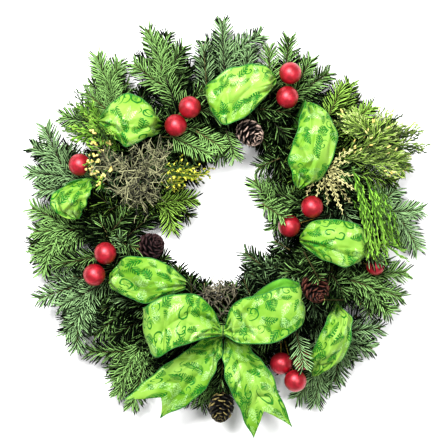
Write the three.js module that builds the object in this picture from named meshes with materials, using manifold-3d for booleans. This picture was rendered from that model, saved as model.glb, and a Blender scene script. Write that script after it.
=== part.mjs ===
// A fresh evergreen door wreath, lying on its back: a wire frame packed with moss and bound with wire,
// planted all round with fir, cedar, cypress and twigs, and dressed with ribbon, a bow, baubles and cones.
// Millimetres, +Z up out of the wreath's face, origin on the resting plane below the middle of the outline.
import * as THREE from "three";
import { mergeVertices } from "three/addons/utils/BufferGeometryUtils.js";
import Module from "manifold-3d";

const wasm = await Module();
wasm.setup();
const { Manifold, Mesh: SolidMesh } = wasm;
const { Vector2, Vector3, CatmullRomCurve3, QuadraticBezierCurve3 } = THREE;

// ---------------------------------------------------------------- driving dimensions

const MM_PER_PIXEL = 1.35; // a 30 mm bauble is 22 pixels wide in the photograph
const CENTRE_PIXEL = [226, 223.5]; // the pixel that the origin lies under
const CLEARANCE = 0.35; // kept between pieces that touch
const CHIP = 3; // cubic millimetres
const SPECK = 1e-3;
const MERGE = 2e-3; // vertices nearer than this are one

const RING_RADIUS = 155; // middle of the moss ring
const STRUT_HEIGHT = 2.6; // the cross struts that the wreath lies on
const STRUT_WIDTH = 3;
const STRUTS = 8;
const HOOP_FOOT = 2; // the two hoops are sunk a little into the struts
const HOOP_WIRE = 3; // hoop wire, across
const HOOP_OFFSET = 16; // hoops either side of the ring's middle
const BIND_WIRE = 0.8; // binding wire, across
const BIND_FOOT = 0.8; // height of its underside run, above the resting plane and below the hoops
const BIND_TURNS = 10;
const BIND_START = 18; // degrees round the ring
const MOSS_FOOT = HOOP_FOOT + HOOP_WIRE + 0.3;
const MOSS_TOP = 36;
const MOSS_HALF_WIDTH = 24;
const RING_SEGMENTS = 24;

const RIBBON_THICK = 1.2;
const WIRE_SIDES = 3;
const PICK_RADIUS = 0.8; // florist's wire of the baubles and the bow
const FOOT_ROOM = 1.4; // round a wire or stalk in its hole
const STALK_FOOT = 20; // how deep wires and stalks reach into the moss
const CAP_HEIGHT = 4; // of a bauble's cap
const CAP_RADIUS = 3.6;
const CONE_STALK = 2;
const CONE_ROWS = 7;
const CONE_COLUMNS = 7;
const CONE_SCALE = 8; // how far the largest scale stands out

// How each plant grows: stem radius at root and tip, the distance between whorls, and the length,
// lean from the stem (degrees) and vertical flattening of the needles or twiglets drawn out of it.
const FIR = { stem: 2.1, tip: 1.2, spacing: 17, needle: 23, lean: 52, tipLean: 24, flatten: 0.62 };
const CEDAR = { stem: 1.5, tip: 0.8, spacing: 16, needle: 20, lean: 34, tipLean: 20, flat: true };
const CYPRESS = { stem: 1.4, tip: 0.8, spacing: 18, needle: 15, lean: 16, tipLean: 10, flat: true };
const TWIG = { stem: 1.4, tip: 0.7, spacing: 17, needle: 16, lean: 48, tipLean: 34, flatten: 0.8 };
const ROOT_BARE = 34; // a main stem is bare in the moss and just out of it
const BRANCH_BARE = 6;
const BRANCH_GIRTH = 0.72; // of a branch against its main stem
const BEAD_RADIUS = 2.4; // cedar pollen cones

const GREEN = 0x2f5a2c;
const BLUE_GREEN = 0x3c6646;
const YELLOW_GREEN = 0x6f8f35;
const LIME = 0x8ed83c;
const RED = 0xc4162c;

// ---------------------------------------------------------------- layout

const at = (px, py, z) =>
  new Vector3((px - CENTRE_PIXEL[0]) * MM_PER_PIXEL, (CENTRE_PIXEL[1] - py) * MM_PER_PIXEL, z);

// A low spray leaves the side of the moss, and a high one leaves its top: heights of the root and of the run.
const LOW = { root: 20, run: 25 };
const HIGH = { root: 26, run: 50 };
const TALL = { root: 26, run: 74 };

// Each spray: the pixel of its root in the moss and those of its tips, with their height above the run.
// The first tip ends the main stem, and the others branch off it in turn.
const SPRAYS = {
  fir_e: { kind: FIR, colour: BLUE_GREEN, level: LOW, root: [337, 215], tips: [[425, 210, 2], [400, 187, 0], [405, 232, 0], [420, 252, 4]] },
  fir_se: { kind: FIR, colour: GREEN, level: HIGH, root: [326, 272], tips: [[404, 298, 0], [409, 272, 2], [393, 315, 0]] },
  fir_sse: { kind: FIR, colour: BLUE_GREEN, level: LOW, root: [297, 310], tips: [[352, 362, 0], [384, 329, 2], [376, 350, 0], [342, 388, 2], [316, 408, 0], [296, 401, 2]] },
  fir_s: { kind: FIR, colour: GREEN, level: LOW, root: [232, 334], tips: [[248, 398, 0], [201, 405, -2], [272, 400, 0], [174, 402, 0]] },
  fir_sw: { kind: FIR, colour: GREEN, level: LOW, root: [156, 310], tips: [[115, 399, 2], [130, 410, 0], [86, 353, 0], [98, 376, 2]] },
  fir_w: { kind: FIR, colour: BLUE_GREEN, level: HIGH, root: [125, 272], tips: [[57, 308, 0], [36, 300, 0], [64, 337, 2], [76, 352, 0]] },
  fir_wnw: { kind: FIR, colour: GREEN, level: LOW, root: [113, 228], tips: [[30, 232, 2], [30, 256, 0], [28, 207, 0], [40, 276, 2]] },
  fir_nw: { kind: FIR, colour: BLUE_GREEN, level: HIGH, root: [121, 182], tips: [[27, 172, 0], [37, 190, 2], [30, 146, 0], [44, 124, 2]] },
  fir_nnw: { kind: FIR, colour: GREEN, level: LOW, root: [149, 144], tips: [[83, 90, 0], [59, 115, 2], [95, 52, 2], [119, 58, 0]] },
  fir_n: { kind: FIR, colour: GREEN, level: HIGH, root: [182, 122], tips: [[147, 27, 0], [132, 62, 2], [184, 44, 0]] },
  fir_nne: { kind: FIR, colour: BLUE_GREEN, level: LOW, root: [226, 113], tips: [[222, 17, 4], [206, 58, 0], [245, 50, 2], [263, 32, 0]] },
  fir_ne: { kind: FIR, colour: GREEN, level: HIGH, root: [277, 124], tips: [[312, 57, 0], [290, 35, 0], [331, 71, 0]] },
  fir_ene: { kind: FIR, colour: YELLOW_GREEN, level: LOW, root: [313, 154], tips: [[375, 104, 2], [352, 80, 0], [398, 150, 2], [408, 172, 0]] },
  fir_inner_n: { kind: FIR, colour: GREEN, level: LOW, root: [218, 117], tips: [[234, 164, 10], [207, 168, 6]] },
  fir_inner_e: { kind: FIR, colour: GREEN, level: LOW, root: [331, 196], tips: [[262, 213, 8], [256, 190, 10], [268, 237, 8], [250, 172, 6]] },
  fir_inner_se: { kind: FIR, colour: BLUE_GREEN, level: LOW, root: [303, 297], tips: [[238, 247, 14], [262, 258, 8], [240, 276, 6]] },
  fir_inner_w: { kind: FIR, colour: YELLOW_GREEN, level: LOW, root: [123, 204], tips: [[206, 200, 14], [202, 213, 10], [180, 250, 8]] },
  cedar_e: { kind: CEDAR, colour: YELLOW_GREEN, level: TALL, root: [322, 168], tips: [[416, 125, -6], [398, 163, -4], [409, 143, -8], [386, 131, 2], [352, 124, 4]], beads: 8 },
  cypress_e: { kind: CYPRESS, colour: YELLOW_GREEN, level: TALL, root: [347, 190], tips: [[386, 262, 20], [397, 238, 8], [380, 258, 28], [391, 252, 14]] },
  cedar_w: { kind: CEDAR, colour: YELLOW_GREEN, level: TALL, root: [128, 160], tips: [[77, 108, -6], [92, 118, 2], [84, 139, 4], [105, 132, 8]], beads: 9 },
  cedar_inner: { kind: CEDAR, colour: YELLOW_GREEN, level: HIGH, root: [136, 184], tips: [[207, 174, -4], [190, 168, 6], [176, 183, 8]], beads: 8 },
  twigs_w: { kind: TWIG, colour: 0x7d7a5a, level: TALL, root: [118, 195], tips: [[160, 150, 6], [104, 168, 8], [148, 168, 12], [150, 196, 4], [172, 196, -4]] },
  twigs_s: { kind: TWIG, colour: 0x7d7a5a, level: TALL, root: [212, 328], tips: [[236, 284, -14], [196, 284, -18], [214, 278, -10]] },
};

// Baubles: pixel, height of the middle and radius, in clusters that share one twisted wire, which is pushed into the moss.
const BAUBLES = {
  nw: { foot: [196, 117], balls: [[190, 108, 86, 15], [176, 126, 84, 15]] },
  ne: { foot: [276, 116], balls: [[290, 74, 84, 15], [287, 98, 86, 15]] },
  e: { foot: [334, 214], balls: [[311.5, 207, 86, 15], [289, 226, 78, 15]] },
  ese: { foot: [338, 258], balls: [[375, 266, 70, 12.5]] },
  sse: { foot: [281, 324], balls: [[281, 363, 72, 15], [295, 380, 80, 15], [303, 359, 58, 15]] },
  sw: { foot: [121, 268], balls: [[106, 253, 86, 15], [95, 274.5, 84, 15]] },
  w: { foot: [110, 187], balls: [[80, 165, 74, 15]] },
};

// Cones: pixel and height of the middle, the way the tip points, length and widest radius, and the foot of the twig.
const CONES = {
  cone_n: { middle: [251, 134, 62], tip: [0.5, -0.45, 0.75], length: 44, radius: 18, foot: [240, 116] },
  cone_w: { middle: [151, 246, 50], tip: [0.5, 0.3, 0.8], length: 46, radius: 19, foot: [122, 236] },
  cone_se: { middle: [316, 289, 84], tip: [0.25, -0.5, 0.8], length: 50, radius: 19, foot: [316, 282] },
  cone_s: { middle: [221, 409, 54], tip: [-0.1, -0.65, 0.7], length: 46, radius: 18, foot: [222, 343] },
};

// Ribbon stretches: their two edges through hand-placed pixels and heights, and how far the middle stands proud.
// The last point of each edge is the gathered end, tucked down on the moss.
const PUFFS = {
  ribbon_nw: {
    crown: 20,
    left: [[100, 118, 76], [115, 99, 84], [133, 94, 88], [149, 102, 86], [156, 114, 70], [159, 124, 37]],
    right: [[100, 124, 76], [116, 141, 84], [126, 148, 86], [144, 141, 86], [155, 137, 72], [163, 130, 37]],
  },
  ribbon_n: {
    crown: 20,
    right: [[275, 76, 74], [265, 66, 84], [250, 63, 88], [232, 68, 88], [216, 76, 84], [204, 90, 68], [222, 108, 37]],
    left: [[276, 82, 74], [262, 104, 86], [240, 121, 92], [222, 126, 90], [210, 112, 82], [208, 96, 66], [217, 112, 37]],
  },
  ribbon_ne: {
    crown: 20,
    left: [[296, 187, 74], [289, 174, 84], [287, 158, 90], [292, 140, 92], [298, 119, 88], [304, 101, 70], [291, 128, 37.3]],
    right: [[301, 189, 74], [322, 178, 84], [334, 158, 90], [338, 137, 92], [332, 119, 88], [310, 103, 70], [296, 131, 37.3]],
  },
  ribbon_e: {
    crown: 18,
    left: [[300, 237, 74], [309, 222, 84], [330, 217, 90], [350, 221, 90], [365, 232, 84], [369, 250, 64], [344, 243, 37.4]],
    right: [[300, 242, 74], [310, 253, 84], [327, 264, 88], [345, 267, 88], [358, 264, 82], [365, 255, 62], [341, 249, 37.4]],
  },
  ribbon_se: {
    crown: 16,
    left: [[312, 376, 62], [308, 364, 72], [314, 341, 80], [325, 319, 80], [331, 307, 66], [325, 294, 37]],
    right: [[317, 376, 62], [340, 362, 72], [351, 342, 80], [354, 320, 80], [341, 306, 66], [328, 289, 37]],
  },
  ribbon_sw: {
    crown: 20,
    right: [[186, 279, 76], [172, 266, 86], [150, 256, 90], [127, 256, 86], [113, 269, 76], [110, 281, 66], [124, 272, 37]],
    left: [[185, 289, 76], [164, 298, 86], [143, 303, 88], [122, 296, 82], [113, 290, 74], [111, 285, 64], [125, 277, 37]],
  },
  ribbon_w: {
    crown: 15,
    left: [[75, 219, 62], [55, 213, 70], [49, 202, 76], [56, 190, 78], [72, 181, 76], [90, 178, 68], [115, 194, 37]],
    right: [[79, 219, 62], [84, 212, 70], [89, 203, 76], [92, 195, 78], [93, 188, 76], [92, 181, 68], [113, 199, 37]],
  },
};

const KNOT = [223, 330]; // the pinched middle of the bow
const LOOPS = {
  left: {
    crown: 6,
    right: [[221, 326, 106], [212, 304, 116], [195, 292, 124], [170, 293, 128], [148, 302, 120], [144, 306, 104], [162, 299, 92], [195, 306, 86], [220, 326, 90]],
    left: [[221, 334, 106], [205, 338, 114], [186, 344, 124], [168, 351, 126], [156, 357, 116], [152, 352, 100], [166, 345, 88], [195, 338, 84], [220, 334, 90]],
  },
  right: {
    crown: 6,
    right: [[225, 334, 106], [238, 342, 112], [258, 344, 124], [282, 339, 126], [300, 327, 116], [303, 316, 100], [293, 318, 88], [262, 328, 84], [226, 334, 90]],
    left: [[225, 326, 106], [232, 304, 116], [253, 293, 124], [275, 285, 128], [295, 284, 120], [297, 280, 106], [284, 276, 94], [252, 294, 86], [226, 326, 90]],
  },
};
const TAILS = {
  left: {
    crown: 7, notch: 0.15,
    right: [[221, 334, 76], [204, 338, 80], [186, 348, 84], [164, 364, 86], [143, 381, 80], [124, 399, 68]],
    left: [[222, 339, 76], [223, 350, 80], [220, 364, 84], [211, 382, 86], [192, 401, 80], [160, 416, 64]],
  },
  right: {
    crown: 7, notch: 0.15,
    right: [[225, 339, 76], [222, 350, 80], [222, 366, 84], [227, 388, 86], [239, 412, 78], [254, 435, 62]],
    left: [[226, 334, 76], [243, 340, 80], [256, 350, 84], [268, 366, 86], [281, 392, 78], [291, 425, 60]],
  },
};
const LOOP_PINCH = { low: 86, high: 110, width: 24, depth: 16 };
const TAIL_PINCH = { low: 68, high: 85.6, width: 22, depth: 16 };

// ---------------------------------------------------------------- solids

const range = (n) => [...Array(n).keys()];
const radians = THREE.MathUtils.degToRad;
const mix = THREE.MathUtils.lerp;

function manifoldOf(positions, triangles) {
  return new Manifold(
    new SolidMesh({
      numProp: 3,
      vertProperties: new Float32Array(positions),
      triVerts: new Uint32Array(triangles),
    }),
  );
}

// A closed geometry as a solid. Its vertices are merged, and facets that come to nothing are dropped,
// as are the two walls of a slit that merging has closed.
function solidOf(geometry) {
  geometry.deleteAttribute("normal");
  geometry.deleteAttribute("uv");
  const merged = mergeVertices(geometry, MERGE);
  const index = [...merged.getIndex().array];
  const facets = new Map();
  for (const face of range(index.length / 3).map((i) => index.slice(3 * i, 3 * i + 3))) {
    const key = [...face].sort().join();
    if (new Set(face).size < 3) continue;
    if (!facets.delete(key)) facets.set(key, face);
  }
  return manifoldOf(merged.getAttribute("position").array, [...facets.values()].flat());
}

function geometryOf(solid) {
  const { vertProperties, triVerts } = solid.getMesh();
  return new THREE.BufferGeometry()
    .setAttribute("position", new THREE.BufferAttribute(new Float32Array(vertProperties), 3))
    .setIndex(new THREE.BufferAttribute(new Uint32Array(triVerts), 1));
}

// Joined solids, without the chips that rounding leaves where they meet.
function joined(solids) {
  const bodies = Manifold.union(solids).decompose().sort((a, b) => b.volume() - a.volume());
  if (bodies.length > 1 && bodies[1].volume() > CHIP) throw new Error("a piece has come away");
  return solidOf(geometryOf(bodies[0]));
}

// A surface built facet by facet.
class Shell {
  points = [];
  faces = [];

  point(p) {
    return this.points.push(p) - 1;
  }

  // A facet, drawn out to a sharp tip where one is given.
  facet(a, b, c, tip) {
    if (!tip) {
      this.faces.push([a, b, c]);
      return;
    }
    const t = this.point(tip);
    this.faces.push([a, b, t], [b, c, t], [c, a, t]);
  }

  quad(a, b, c, d) {
    this.facet(a, b, c);
    this.facet(a, c, d);
  }

  fan(loop) {
    for (let i = 1; i + 1 < loop.length; i++) this.facet(loop[0], loop[i], loop[i + 1]);
  }

  ring(corners) {
    return corners.map((p) => this.point(p));
  }

  solid() {
    return manifoldOf(this.points.flatMap((p) => p.toArray()), this.faces.flat());
  }
}

// The facets of the band between two rings of a rod, as pairs of ring and corner.
const bandFacets = (i, sides) =>
  range(sides).flatMap((j) => {
    const k = (j + 1) % sides;
    return [[[i, j], [i, k], [i + 1, k]], [[i, j], [i + 1, k], [i + 1, j]]];
  });

// The rings of a bent rod, with the directions at each, carried along it without twist.
// With a stagger the corners turn by that share of a side at every other band.
function rodRings({ points, radii, sides = 3, stagger = 0, up = new Vector3(0, 0, 1) }) {
  let above = up;
  return points.map((centre, i) => {
    const along = (points[i + 1] ?? centre).clone().sub(points[i - 1] ?? centre).normalize();
    above = above.clone().addScaledVector(along, -above.dot(along)).normalize();
    const side = new Vector3().crossVectors(along, above);
    const turn = -stagger * Math.floor((i + 1) / 2);
    const corners = range(sides).map((j) => {
      const angle = (2 * Math.PI * (j + turn)) / sides;
      const spoke = above.clone().multiplyScalar(Math.cos(angle)).addScaledVector(side, Math.sin(angle));
      return centre.clone().addScaledVector(spoke, radii[i]);
    });
    return { centre, along, side, corners };
  });
}

// A rod through the points. `tipOf` may draw a facet of a band out to a tip.
function rod(shape, tipOf = () => null) {
  const shell = new Shell();
  const rings = rodRings(shape);
  const ids = rings.map(({ corners }) => shell.ring(corners));
  shell.fan([...ids[0]].reverse());
  for (let i = 0; i + 1 < rings.length; i++)
    for (const facet of bandFacets(i, ids[i].length)) {
      const corners = facet.map(([r, j]) => rings[r].corners[j]);
      shell.facet(...facet.map(([r, j]) => ids[r][j]), tipOf(i, rings[i], corners));
    }
  shell.fan(ids.at(-1));
  return shell.solid();
}

// A wire through the points, or the hole that it stands in.
function wire(points, radius, steps) {
  const corners = range(WIRE_SIDES).map((i) => (2 * Math.PI * i) / WIRE_SIDES);
  const section = new THREE.Shape(corners.map((a) => new Vector2(radius * Math.cos(a), radius * Math.sin(a))));
  const extrudePath = new CatmullRomCurve3(points, false, "centripetal");
  return solidOf(new THREE.ExtrudeGeometry(section, { steps, extrudePath }));
}

// ---------------------------------------------------------------- what is placed so far

const placed = [];

function place(solid, owner) {
  const { min, max } = solid.boundingBox();
  placed.push({ solid, owner, box: new THREE.Box3(new Vector3(...min), new Vector3(...max)) });
}

// Whether a solid within the box keeps its clearance from all that is placed, apart from its owner's.
function isClear(solid, box, owner) {
  const reach = box.clone().expandByScalar(CLEARANCE);
  const near = placed.filter((other) => other.owner !== owner && reach.intersectsBox(other.box));
  return near.every((other) => solid.minGap(other.solid, 2 * CLEARANCE) >= CLEARANCE);
}

// Whether a solid within the box crosses any of what its owner has.
function isCrossed(solid, box, owner) {
  const near = placed.filter((other) => other.owner === owner && box.intersectsBox(other.box));
  return near.some((other) => solid.intersect(other.solid).volume() > SPECK);
}

// ---------------------------------------------------------------- frame, binding wire and moss

const onRing = (radius, degrees, z) =>
  new Vector3(radius * Math.cos(radians(degrees)), radius * Math.sin(radians(degrees)), z);

// A ring turned about the wreath's axis, from the corners of its section as offset and height.
function turnedRing(radius, section) {
  const closed = [...section, section[0]].map(([offset, z]) => new Vector2(radius + offset, z));
  return solidOf(new THREE.LatheGeometry(closed, RING_SEGMENTS).rotateX(Math.PI / 2));
}

function hoop(radius) {
  const [half, top] = [HOOP_WIRE / 2, HOOP_FOOT + HOOP_WIRE];
  return turnedRing(radius, [[-half, HOOP_FOOT], [half, HOOP_FOOT], [half, top], [-half, top]]);
}

function strut(i) {
  const bar = new THREE.BoxGeometry(2 * HOOP_OFFSET, STRUT_WIDTH, STRUT_HEIGHT);
  const degrees = (360 * (i + 0.5)) / STRUTS;
  bar.rotateZ(radians(degrees));
  return solidOf(bar.translate(...onRing(RING_RADIUS, degrees, STRUT_HEIGHT / 2).toArray()));
}

function wireFrame() {
  const hoops = [-1, 1].map((s) => hoop(RING_RADIUS + s * HOOP_OFFSET));
  return joined([...hoops, ...range(STRUTS).map(strut)]);
}

// One wire: straight in under the hoops, up the inside of the moss, and over the top to the next turn.
function bindingWire() {
  const foot = BIND_FOOT + BIND_WIRE / 2;
  const lap = [[27, foot], [-25, foot], [-27.2, 14], [-24.6, 27.5], [-12, 37.4], [12, 37.4], [24.6, 27.5], [27.2, 14]];
  const step = 360 / BIND_TURNS;
  const points = range(BIND_TURNS).flatMap((turn) =>
    lap.map(([offset, z], i) => onRing(RING_RADIUS + offset, BIND_START + step * (turn + Math.max(0, i - 3) / 5), z)),
  );
  points.pop();
  return rod({ points, radii: points.map(() => BIND_WIRE / Math.sqrt(3)) });
}

function mossRing(holes) {
  const w = MOSS_HALF_WIDTH;
  const inner = [[-w + 5, MOSS_FOOT], [-w, 14], [-w + 2, 26], [-w + 13, MOSS_TOP]];
  const outer = inner.map(([offset, z]) => [-offset, z]).reverse();
  return turnedRing(RING_RADIUS, [...inner, ...outer].reverse()).subtract(Manifold.union(holes));
}

// ---------------------------------------------------------------- sprays of foliage

const WHORL_BAND = 2.4; // the narrow band that a whorl grows from
const TIP_LENGTH = 3;

// A shoot's stations, as shares of its length: a narrow band for each whorl, with plain stem between them.
function whorlStations(length, { spacing }, bare) {
  const last = length - TIP_LENGTH - WHORL_BAND;
  const count = Math.max(0, Math.floor((last - bare) / spacing)) + 1;
  const bands = range(count).flatMap((i) => {
    const s = last - (count - 1 - i) * spacing;
    return [s, s + WHORL_BAND];
  });
  return [0, ...bands.map((s) => s / length), 1];
}

// A bare shoot along a path. Each facet of its whorls can grow a needle or a branch.
function plannedShoot(kind, path, { bare, girth, up }) {
  const stations = whorlStations(path.getLength(), kind, bare);
  const points = stations.map((t) => path.getPointAt(t));
  const shape = { points, radii: stations.map((t) => girth * mix(kind.stem, kind.tip, t)), stagger: 0.5, up };
  const shoot = { kind, points, rings: rodRings(shape), growth: new Map() };
  place(rod(shape), shoot);
  return shoot;
}

const whorls = ({ points }) => range(points.length - 2).filter((i) => i % 2 === 1);

// A whorl's facets, each with its middle and the way that it faces out from the stem.
function whorlFacets({ rings }, i) {
  return bandFacets(i, 3).map((facet) => {
    const corners = facet.map(([r, j]) => rings[r].corners[j]);
    const middle = middleOf(corners);
    const outward = middle.clone().sub(rings[i].centre);
    outward.addScaledVector(rings[i].along, -outward.dot(rings[i].along)).normalize();
    return { key: String(facet), corners, middle, outward, ring: rings[i] };
  });
}

const middleOf = (corners) => corners.reduce((sum, p) => sum.addScaledVector(p, 1 / 3), new Vector3());

// A branch grows from the whorl's facet that faces most towards its end.
function plannedBranch(main, whorl, end) {
  const toEnd = ({ middle, outward }) => outward.dot(end.clone().sub(middle).normalize());
  const free = whorlFacets(main, whorl).filter(({ key }) => !main.growth.has(key));
  const { key, corners, middle, outward, ring } = free.sort((a, b) => toEnd(b) - toEnd(a))[0];
  const heading = outward.clone().add(ring.along).setLength(0.25 * middle.distanceTo(end));
  const path = new QuadraticBezierCurve3(middle, heading.add(middle), end);
  const up = corners[0].clone().sub(middle);
  main.growth.set(key, { shoot: plannedShoot(main.kind, path, { bare: BRANCH_BARE, girth: BRANCH_GIRTH, up }) });
}

// The main stem rises from the moss and runs out to its tip, and the other shoots branch from its whorls.
function plannedSpray([name, { kind, colour, level, root, tips, beads = 0 }]) {
  const foot = at(...root, level.root);
  const [end, ...ends] = tips.map(([px, py, lift]) => at(px, py, level.run + lift));
  const path = new QuadraticBezierCurve3(foot, foot.clone().lerp(end, 0.18).setZ(level.run), end);
  const main = plannedShoot(kind, path, { bare: ROOT_BARE, girth: 1, up: new Vector3(0, 0, 1) });
  const forks = whorls(main).slice(0, -1);
  ends.forEach((tip, i) => plannedBranch(main, forks[i % forks.length], tip));
  return { name, colour, main, beads };
}

// The tip of the needle or twiglet that grows from a whorl's facet, or nothing where the plant grows none.
function needleTip(kind, share, { middle, outward, ring: { along, side } }) {
  const lean = radians(mix(kind.lean, kind.tipLean, share ** 3));
  const away = outward.clone();
  if (kind.flat && Math.abs(outward.dot(side)) < 0.7) return null;
  if (kind.flat) away.copy(side).multiplyScalar(Math.sign(outward.dot(side)));
  else away.z *= kind.flatten;
  const reach = kind.needle * mix(1, 0.72, share ** 4);
  const forward = middle.clone().addScaledVector(along, reach * Math.cos(lean));
  return forward.addScaledVector(away.normalize(), reach * Math.sin(lean));
}

// Gives the shoot and its branches their needles, but for those that would touch anything.
function growNeedles(shoot, tips) {
  const last = shoot.points.length - 2;
  for (const { shoot: branch } of shoot.growth.values()) growNeedles(branch, tips);
  for (const whorl of whorls(shoot))
    for (const facet of whorlFacets(shoot, whorl).filter(({ key }) => !shoot.growth.has(key))) {
      const tip = needleTip(shoot.kind, whorl / last, facet);
      if (!tip || tip.z < CLEARANCE) continue;
      const needle = new Shell();
      const base = needle.ring(facet.corners);
      needle.fan([...base].reverse());
      needle.facet(...base, tip);
      const solid = needle.solid();
      const box = new THREE.Box3().setFromPoints(needle.points);
      if (!isClear(solid, box, shoot) || isCrossed(solid, box, shoot)) continue;
      place(solid, shoot);
      shoot.growth.set(facet.key, { tip });
      tips.push(tip);
    }
}

// Adds a shoot to the shell, with its needles and branches, on the facet of its parent where it has one.
function addShoot(shell, { rings, growth }, base) {
  const ids = rings.map(({ corners }, i) => (i === 0 && base ? base : shell.ring(corners)));
  if (!base) shell.fan([...ids[0]].reverse());
  for (let i = 0; i + 1 < rings.length; i++)
    for (const facet of bandFacets(i, 3)) {
      const corners = facet.map(([r, j]) => ids[r][j]);
      const { tip, shoot } = growth.get(String(facet)) ?? {};
      if (shoot) addShoot(shell, shoot, corners);
      else shell.facet(...corners, tip);
    }
  shell.fan(ids.at(-1));
}

// A spray as one solid, with pollen cones on some of the cedar's twiglets.
function spraySolid({ main, beads }) {
  const tips = [];
  growNeedles(main, tips);
  const shell = new Shell();
  addShoot(shell, main);
  const every = Math.ceil(tips.length / (beads + 1));
  const cones = tips.filter((_, i) => beads && i % every === every - 1).map(bead);
  return cones.length ? joined([shell.solid(), ...cones]) : shell.solid();
}

const bead = (tip) => solidOf(new THREE.OctahedronGeometry(BEAD_RADIUS).translate(...tip.toArray()));

// The straight hole that the foot of a spray's main stem stands in.
function sprayHole({ main: { kind, points } }) {
  const [foot, mouth] = points;
  const radius = (kind.stem + CLEARANCE) * Math.SQRT2;
  const start = foot.clone().addScaledVector(mouth.clone().sub(foot).normalize(), -CLEARANCE);
  return rod({ points: [start, mouth], radii: [radius, radius], sides: 4 });
}

// ---------------------------------------------------------------- ribbon

function ribbonSheet({ left, right, crown, notch = 0 }, along, across) {
  const edges = [left, right].map((edge) => new CatmullRomCurve3(edge.map((p) => at(...p)), false, "centripetal"));
  const surface = (u, v) => {
    const t = u * (1 - notch * (1 - Math.abs(2 * v - 1)));
    const [a, b] = edges.map((edge) => edge.getPoint(t));
    const step = 0.01;
    const ahead = edges.map((edge) => edge.getPoint(Math.min(1, t + step)));
    const behind = edges.map((edge) => edge.getPoint(Math.max(0, t - step)));
    const run = ahead[0].clone().add(ahead[1]).sub(behind[0]).sub(behind[1]);
    const proud = new Vector3().crossVectors(run, b.clone().sub(a)).normalize();
    const width = a.distanceTo(b);
    const lift = crown * Math.min(1, width / 50) ** 2 * (1 - (2 * v - 1) ** 2);
    return a.lerp(b, v).addScaledVector(proud, -lift);
  };
  const grid = range(along + 1).map((i) => range(across + 1).map((j) => surface(i / along, j / across)));
  return thickSheet(grid);
}

// A sheet of RIBBON_THICK about a grid of points, split into triangles alike on both faces.
function thickSheet(grid) {
  const shell = new Shell();
  const [n, m] = [grid.length - 1, grid[0].length - 1];
  const pick = (i, j) => grid[Math.min(n, Math.max(0, i))][Math.min(m, Math.max(0, j))];
  const layers = [0.5, -0.5].map((side) =>
    grid.map((row, i) =>
      row.map((p, j) => {
        const du = pick(i + 1, j).clone().sub(pick(i - 1, j));
        const dv = pick(i, j + 1).clone().sub(pick(i, j - 1));
        const normal = du.cross(dv).normalize();
        return shell.point(p.clone().addScaledVector(normal, side * RIBBON_THICK));
      }),
    ),
  );
  const [top, under] = layers;
  for (let i = 0; i < n; i++)
    for (let j = 0; j < m; j++) {
      shell.quad(top[i][j], top[i + 1][j], top[i + 1][j + 1], top[i][j + 1]);
      shell.facet(under[i][j], under[i + 1][j + 1], under[i + 1][j]);
      shell.facet(under[i][j], under[i][j + 1], under[i + 1][j + 1]);
    }
  for (let i = 0; i < n; i++) {
    shell.quad(top[i][0], under[i][0], under[i + 1][0], top[i + 1][0]);
    shell.quad(top[i][m], top[i + 1][m], under[i + 1][m], under[i][m]);
  }
  for (let j = 0; j < m; j++) {
    shell.quad(top[0][j], top[0][j + 1], under[0][j + 1], under[0][j]);
    shell.quad(top[n][j], under[n][j], under[n][j + 1], top[n][j + 1]);
  }
  return shell.solid();
}

// The cloth gathered at the middle of the bow.
function pinch({ low, high, width, depth }) {
  const middle = at(...KNOT, (low + high) / 2);
  const bundle = new THREE.SphereGeometry(1, 8, 6).rotateX(Math.PI / 2).scale(width / 2, depth / 2, (high - low) / 2);
  return solidOf(bundle.translate(...middle.toArray()));
}

const bowLoops = () =>
  joined([ribbonSheet(LOOPS.left, 12, 4), ribbonSheet(LOOPS.right, 12, 4), pinch(LOOP_PINCH)]);

const bowTails = () =>
  joined([ribbonSheet(TAILS.left, 8, 4), ribbonSheet(TAILS.right, 8, 4), pinch(TAIL_PINCH)]);

// The wire over the middle of the bow, with both legs down in the moss.
const TIE_HALF = Math.max(LOOP_PINCH.depth, TAIL_PINCH.depth) / 2 + CLEARANCE + PICK_RADIUS;
const tieFeet = [-1, 1].map((s) => [KNOT[0], KNOT[1] - (s * TIE_HALF) / MM_PER_PIXEL]);

function tieWire() {
  const top = LOOP_PINCH.high + CLEARANCE + PICK_RADIUS;
  const [down, up] = tieFeet.map((foot) => [STALK_FOOT, MOSS_TOP, top - 12, top - 2].map((z) => at(...foot, z)));
  const crown = [0.3, 0.7].map((t) => at(...KNOT, top).setY(mix(down[0].y, up[0].y, t)));
  return wire([...down, ...crown, ...up.reverse()], PICK_RADIUS, 16);
}

// ---------------------------------------------------------------- baubles and cones

function ball([px, py, z, radius]) {
  return solidOf(new THREE.SphereGeometry(radius, 9, 6).rotateX(Math.PI / 2).translate(...at(px, py, z).toArray()));
}

const neckOf = ([px, py, z, radius]) => at(px, py, z - radius - CLEARANCE);

function cap(neck) {
  const turned = new THREE.CylinderGeometry(CAP_RADIUS, CAP_RADIUS, CAP_HEIGHT, 6).rotateX(Math.PI / 2);
  return solidOf(turned.translate(neck.x, neck.y, neck.z - CAP_HEIGHT / 2));
}

// A cluster's caps and wires: the first ball's wire goes down into the moss, and the others are twisted on to it.
function clusterWires({ foot, balls }) {
  const steps = 5;
  const [down, ...others] = balls.map(neckOf);
  const root = at(...foot, STALK_FOOT);
  const start = (neck) => neck.clone().setZ(neck.z - CAP_HEIGHT / 2);
  const elbow = (neck, end) => neck.clone().lerp(end, 0.5).setZ(Math.min(neck.z - 8, 52));
  const stem = [start(down), elbow(down, root), root.clone().setZ(MOSS_TOP + 4), root];
  const knot = new CatmullRomCurve3(stem, false, "centripetal").getPointAt(3 / steps);
  const wires = others.map((neck) => wire([start(neck), elbow(neck, knot), knot], PICK_RADIUS, steps - 1));
  return joined([...balls.map(neckOf).map(cap), wire(stem, PICK_RADIUS, steps), ...wires]);
}

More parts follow.
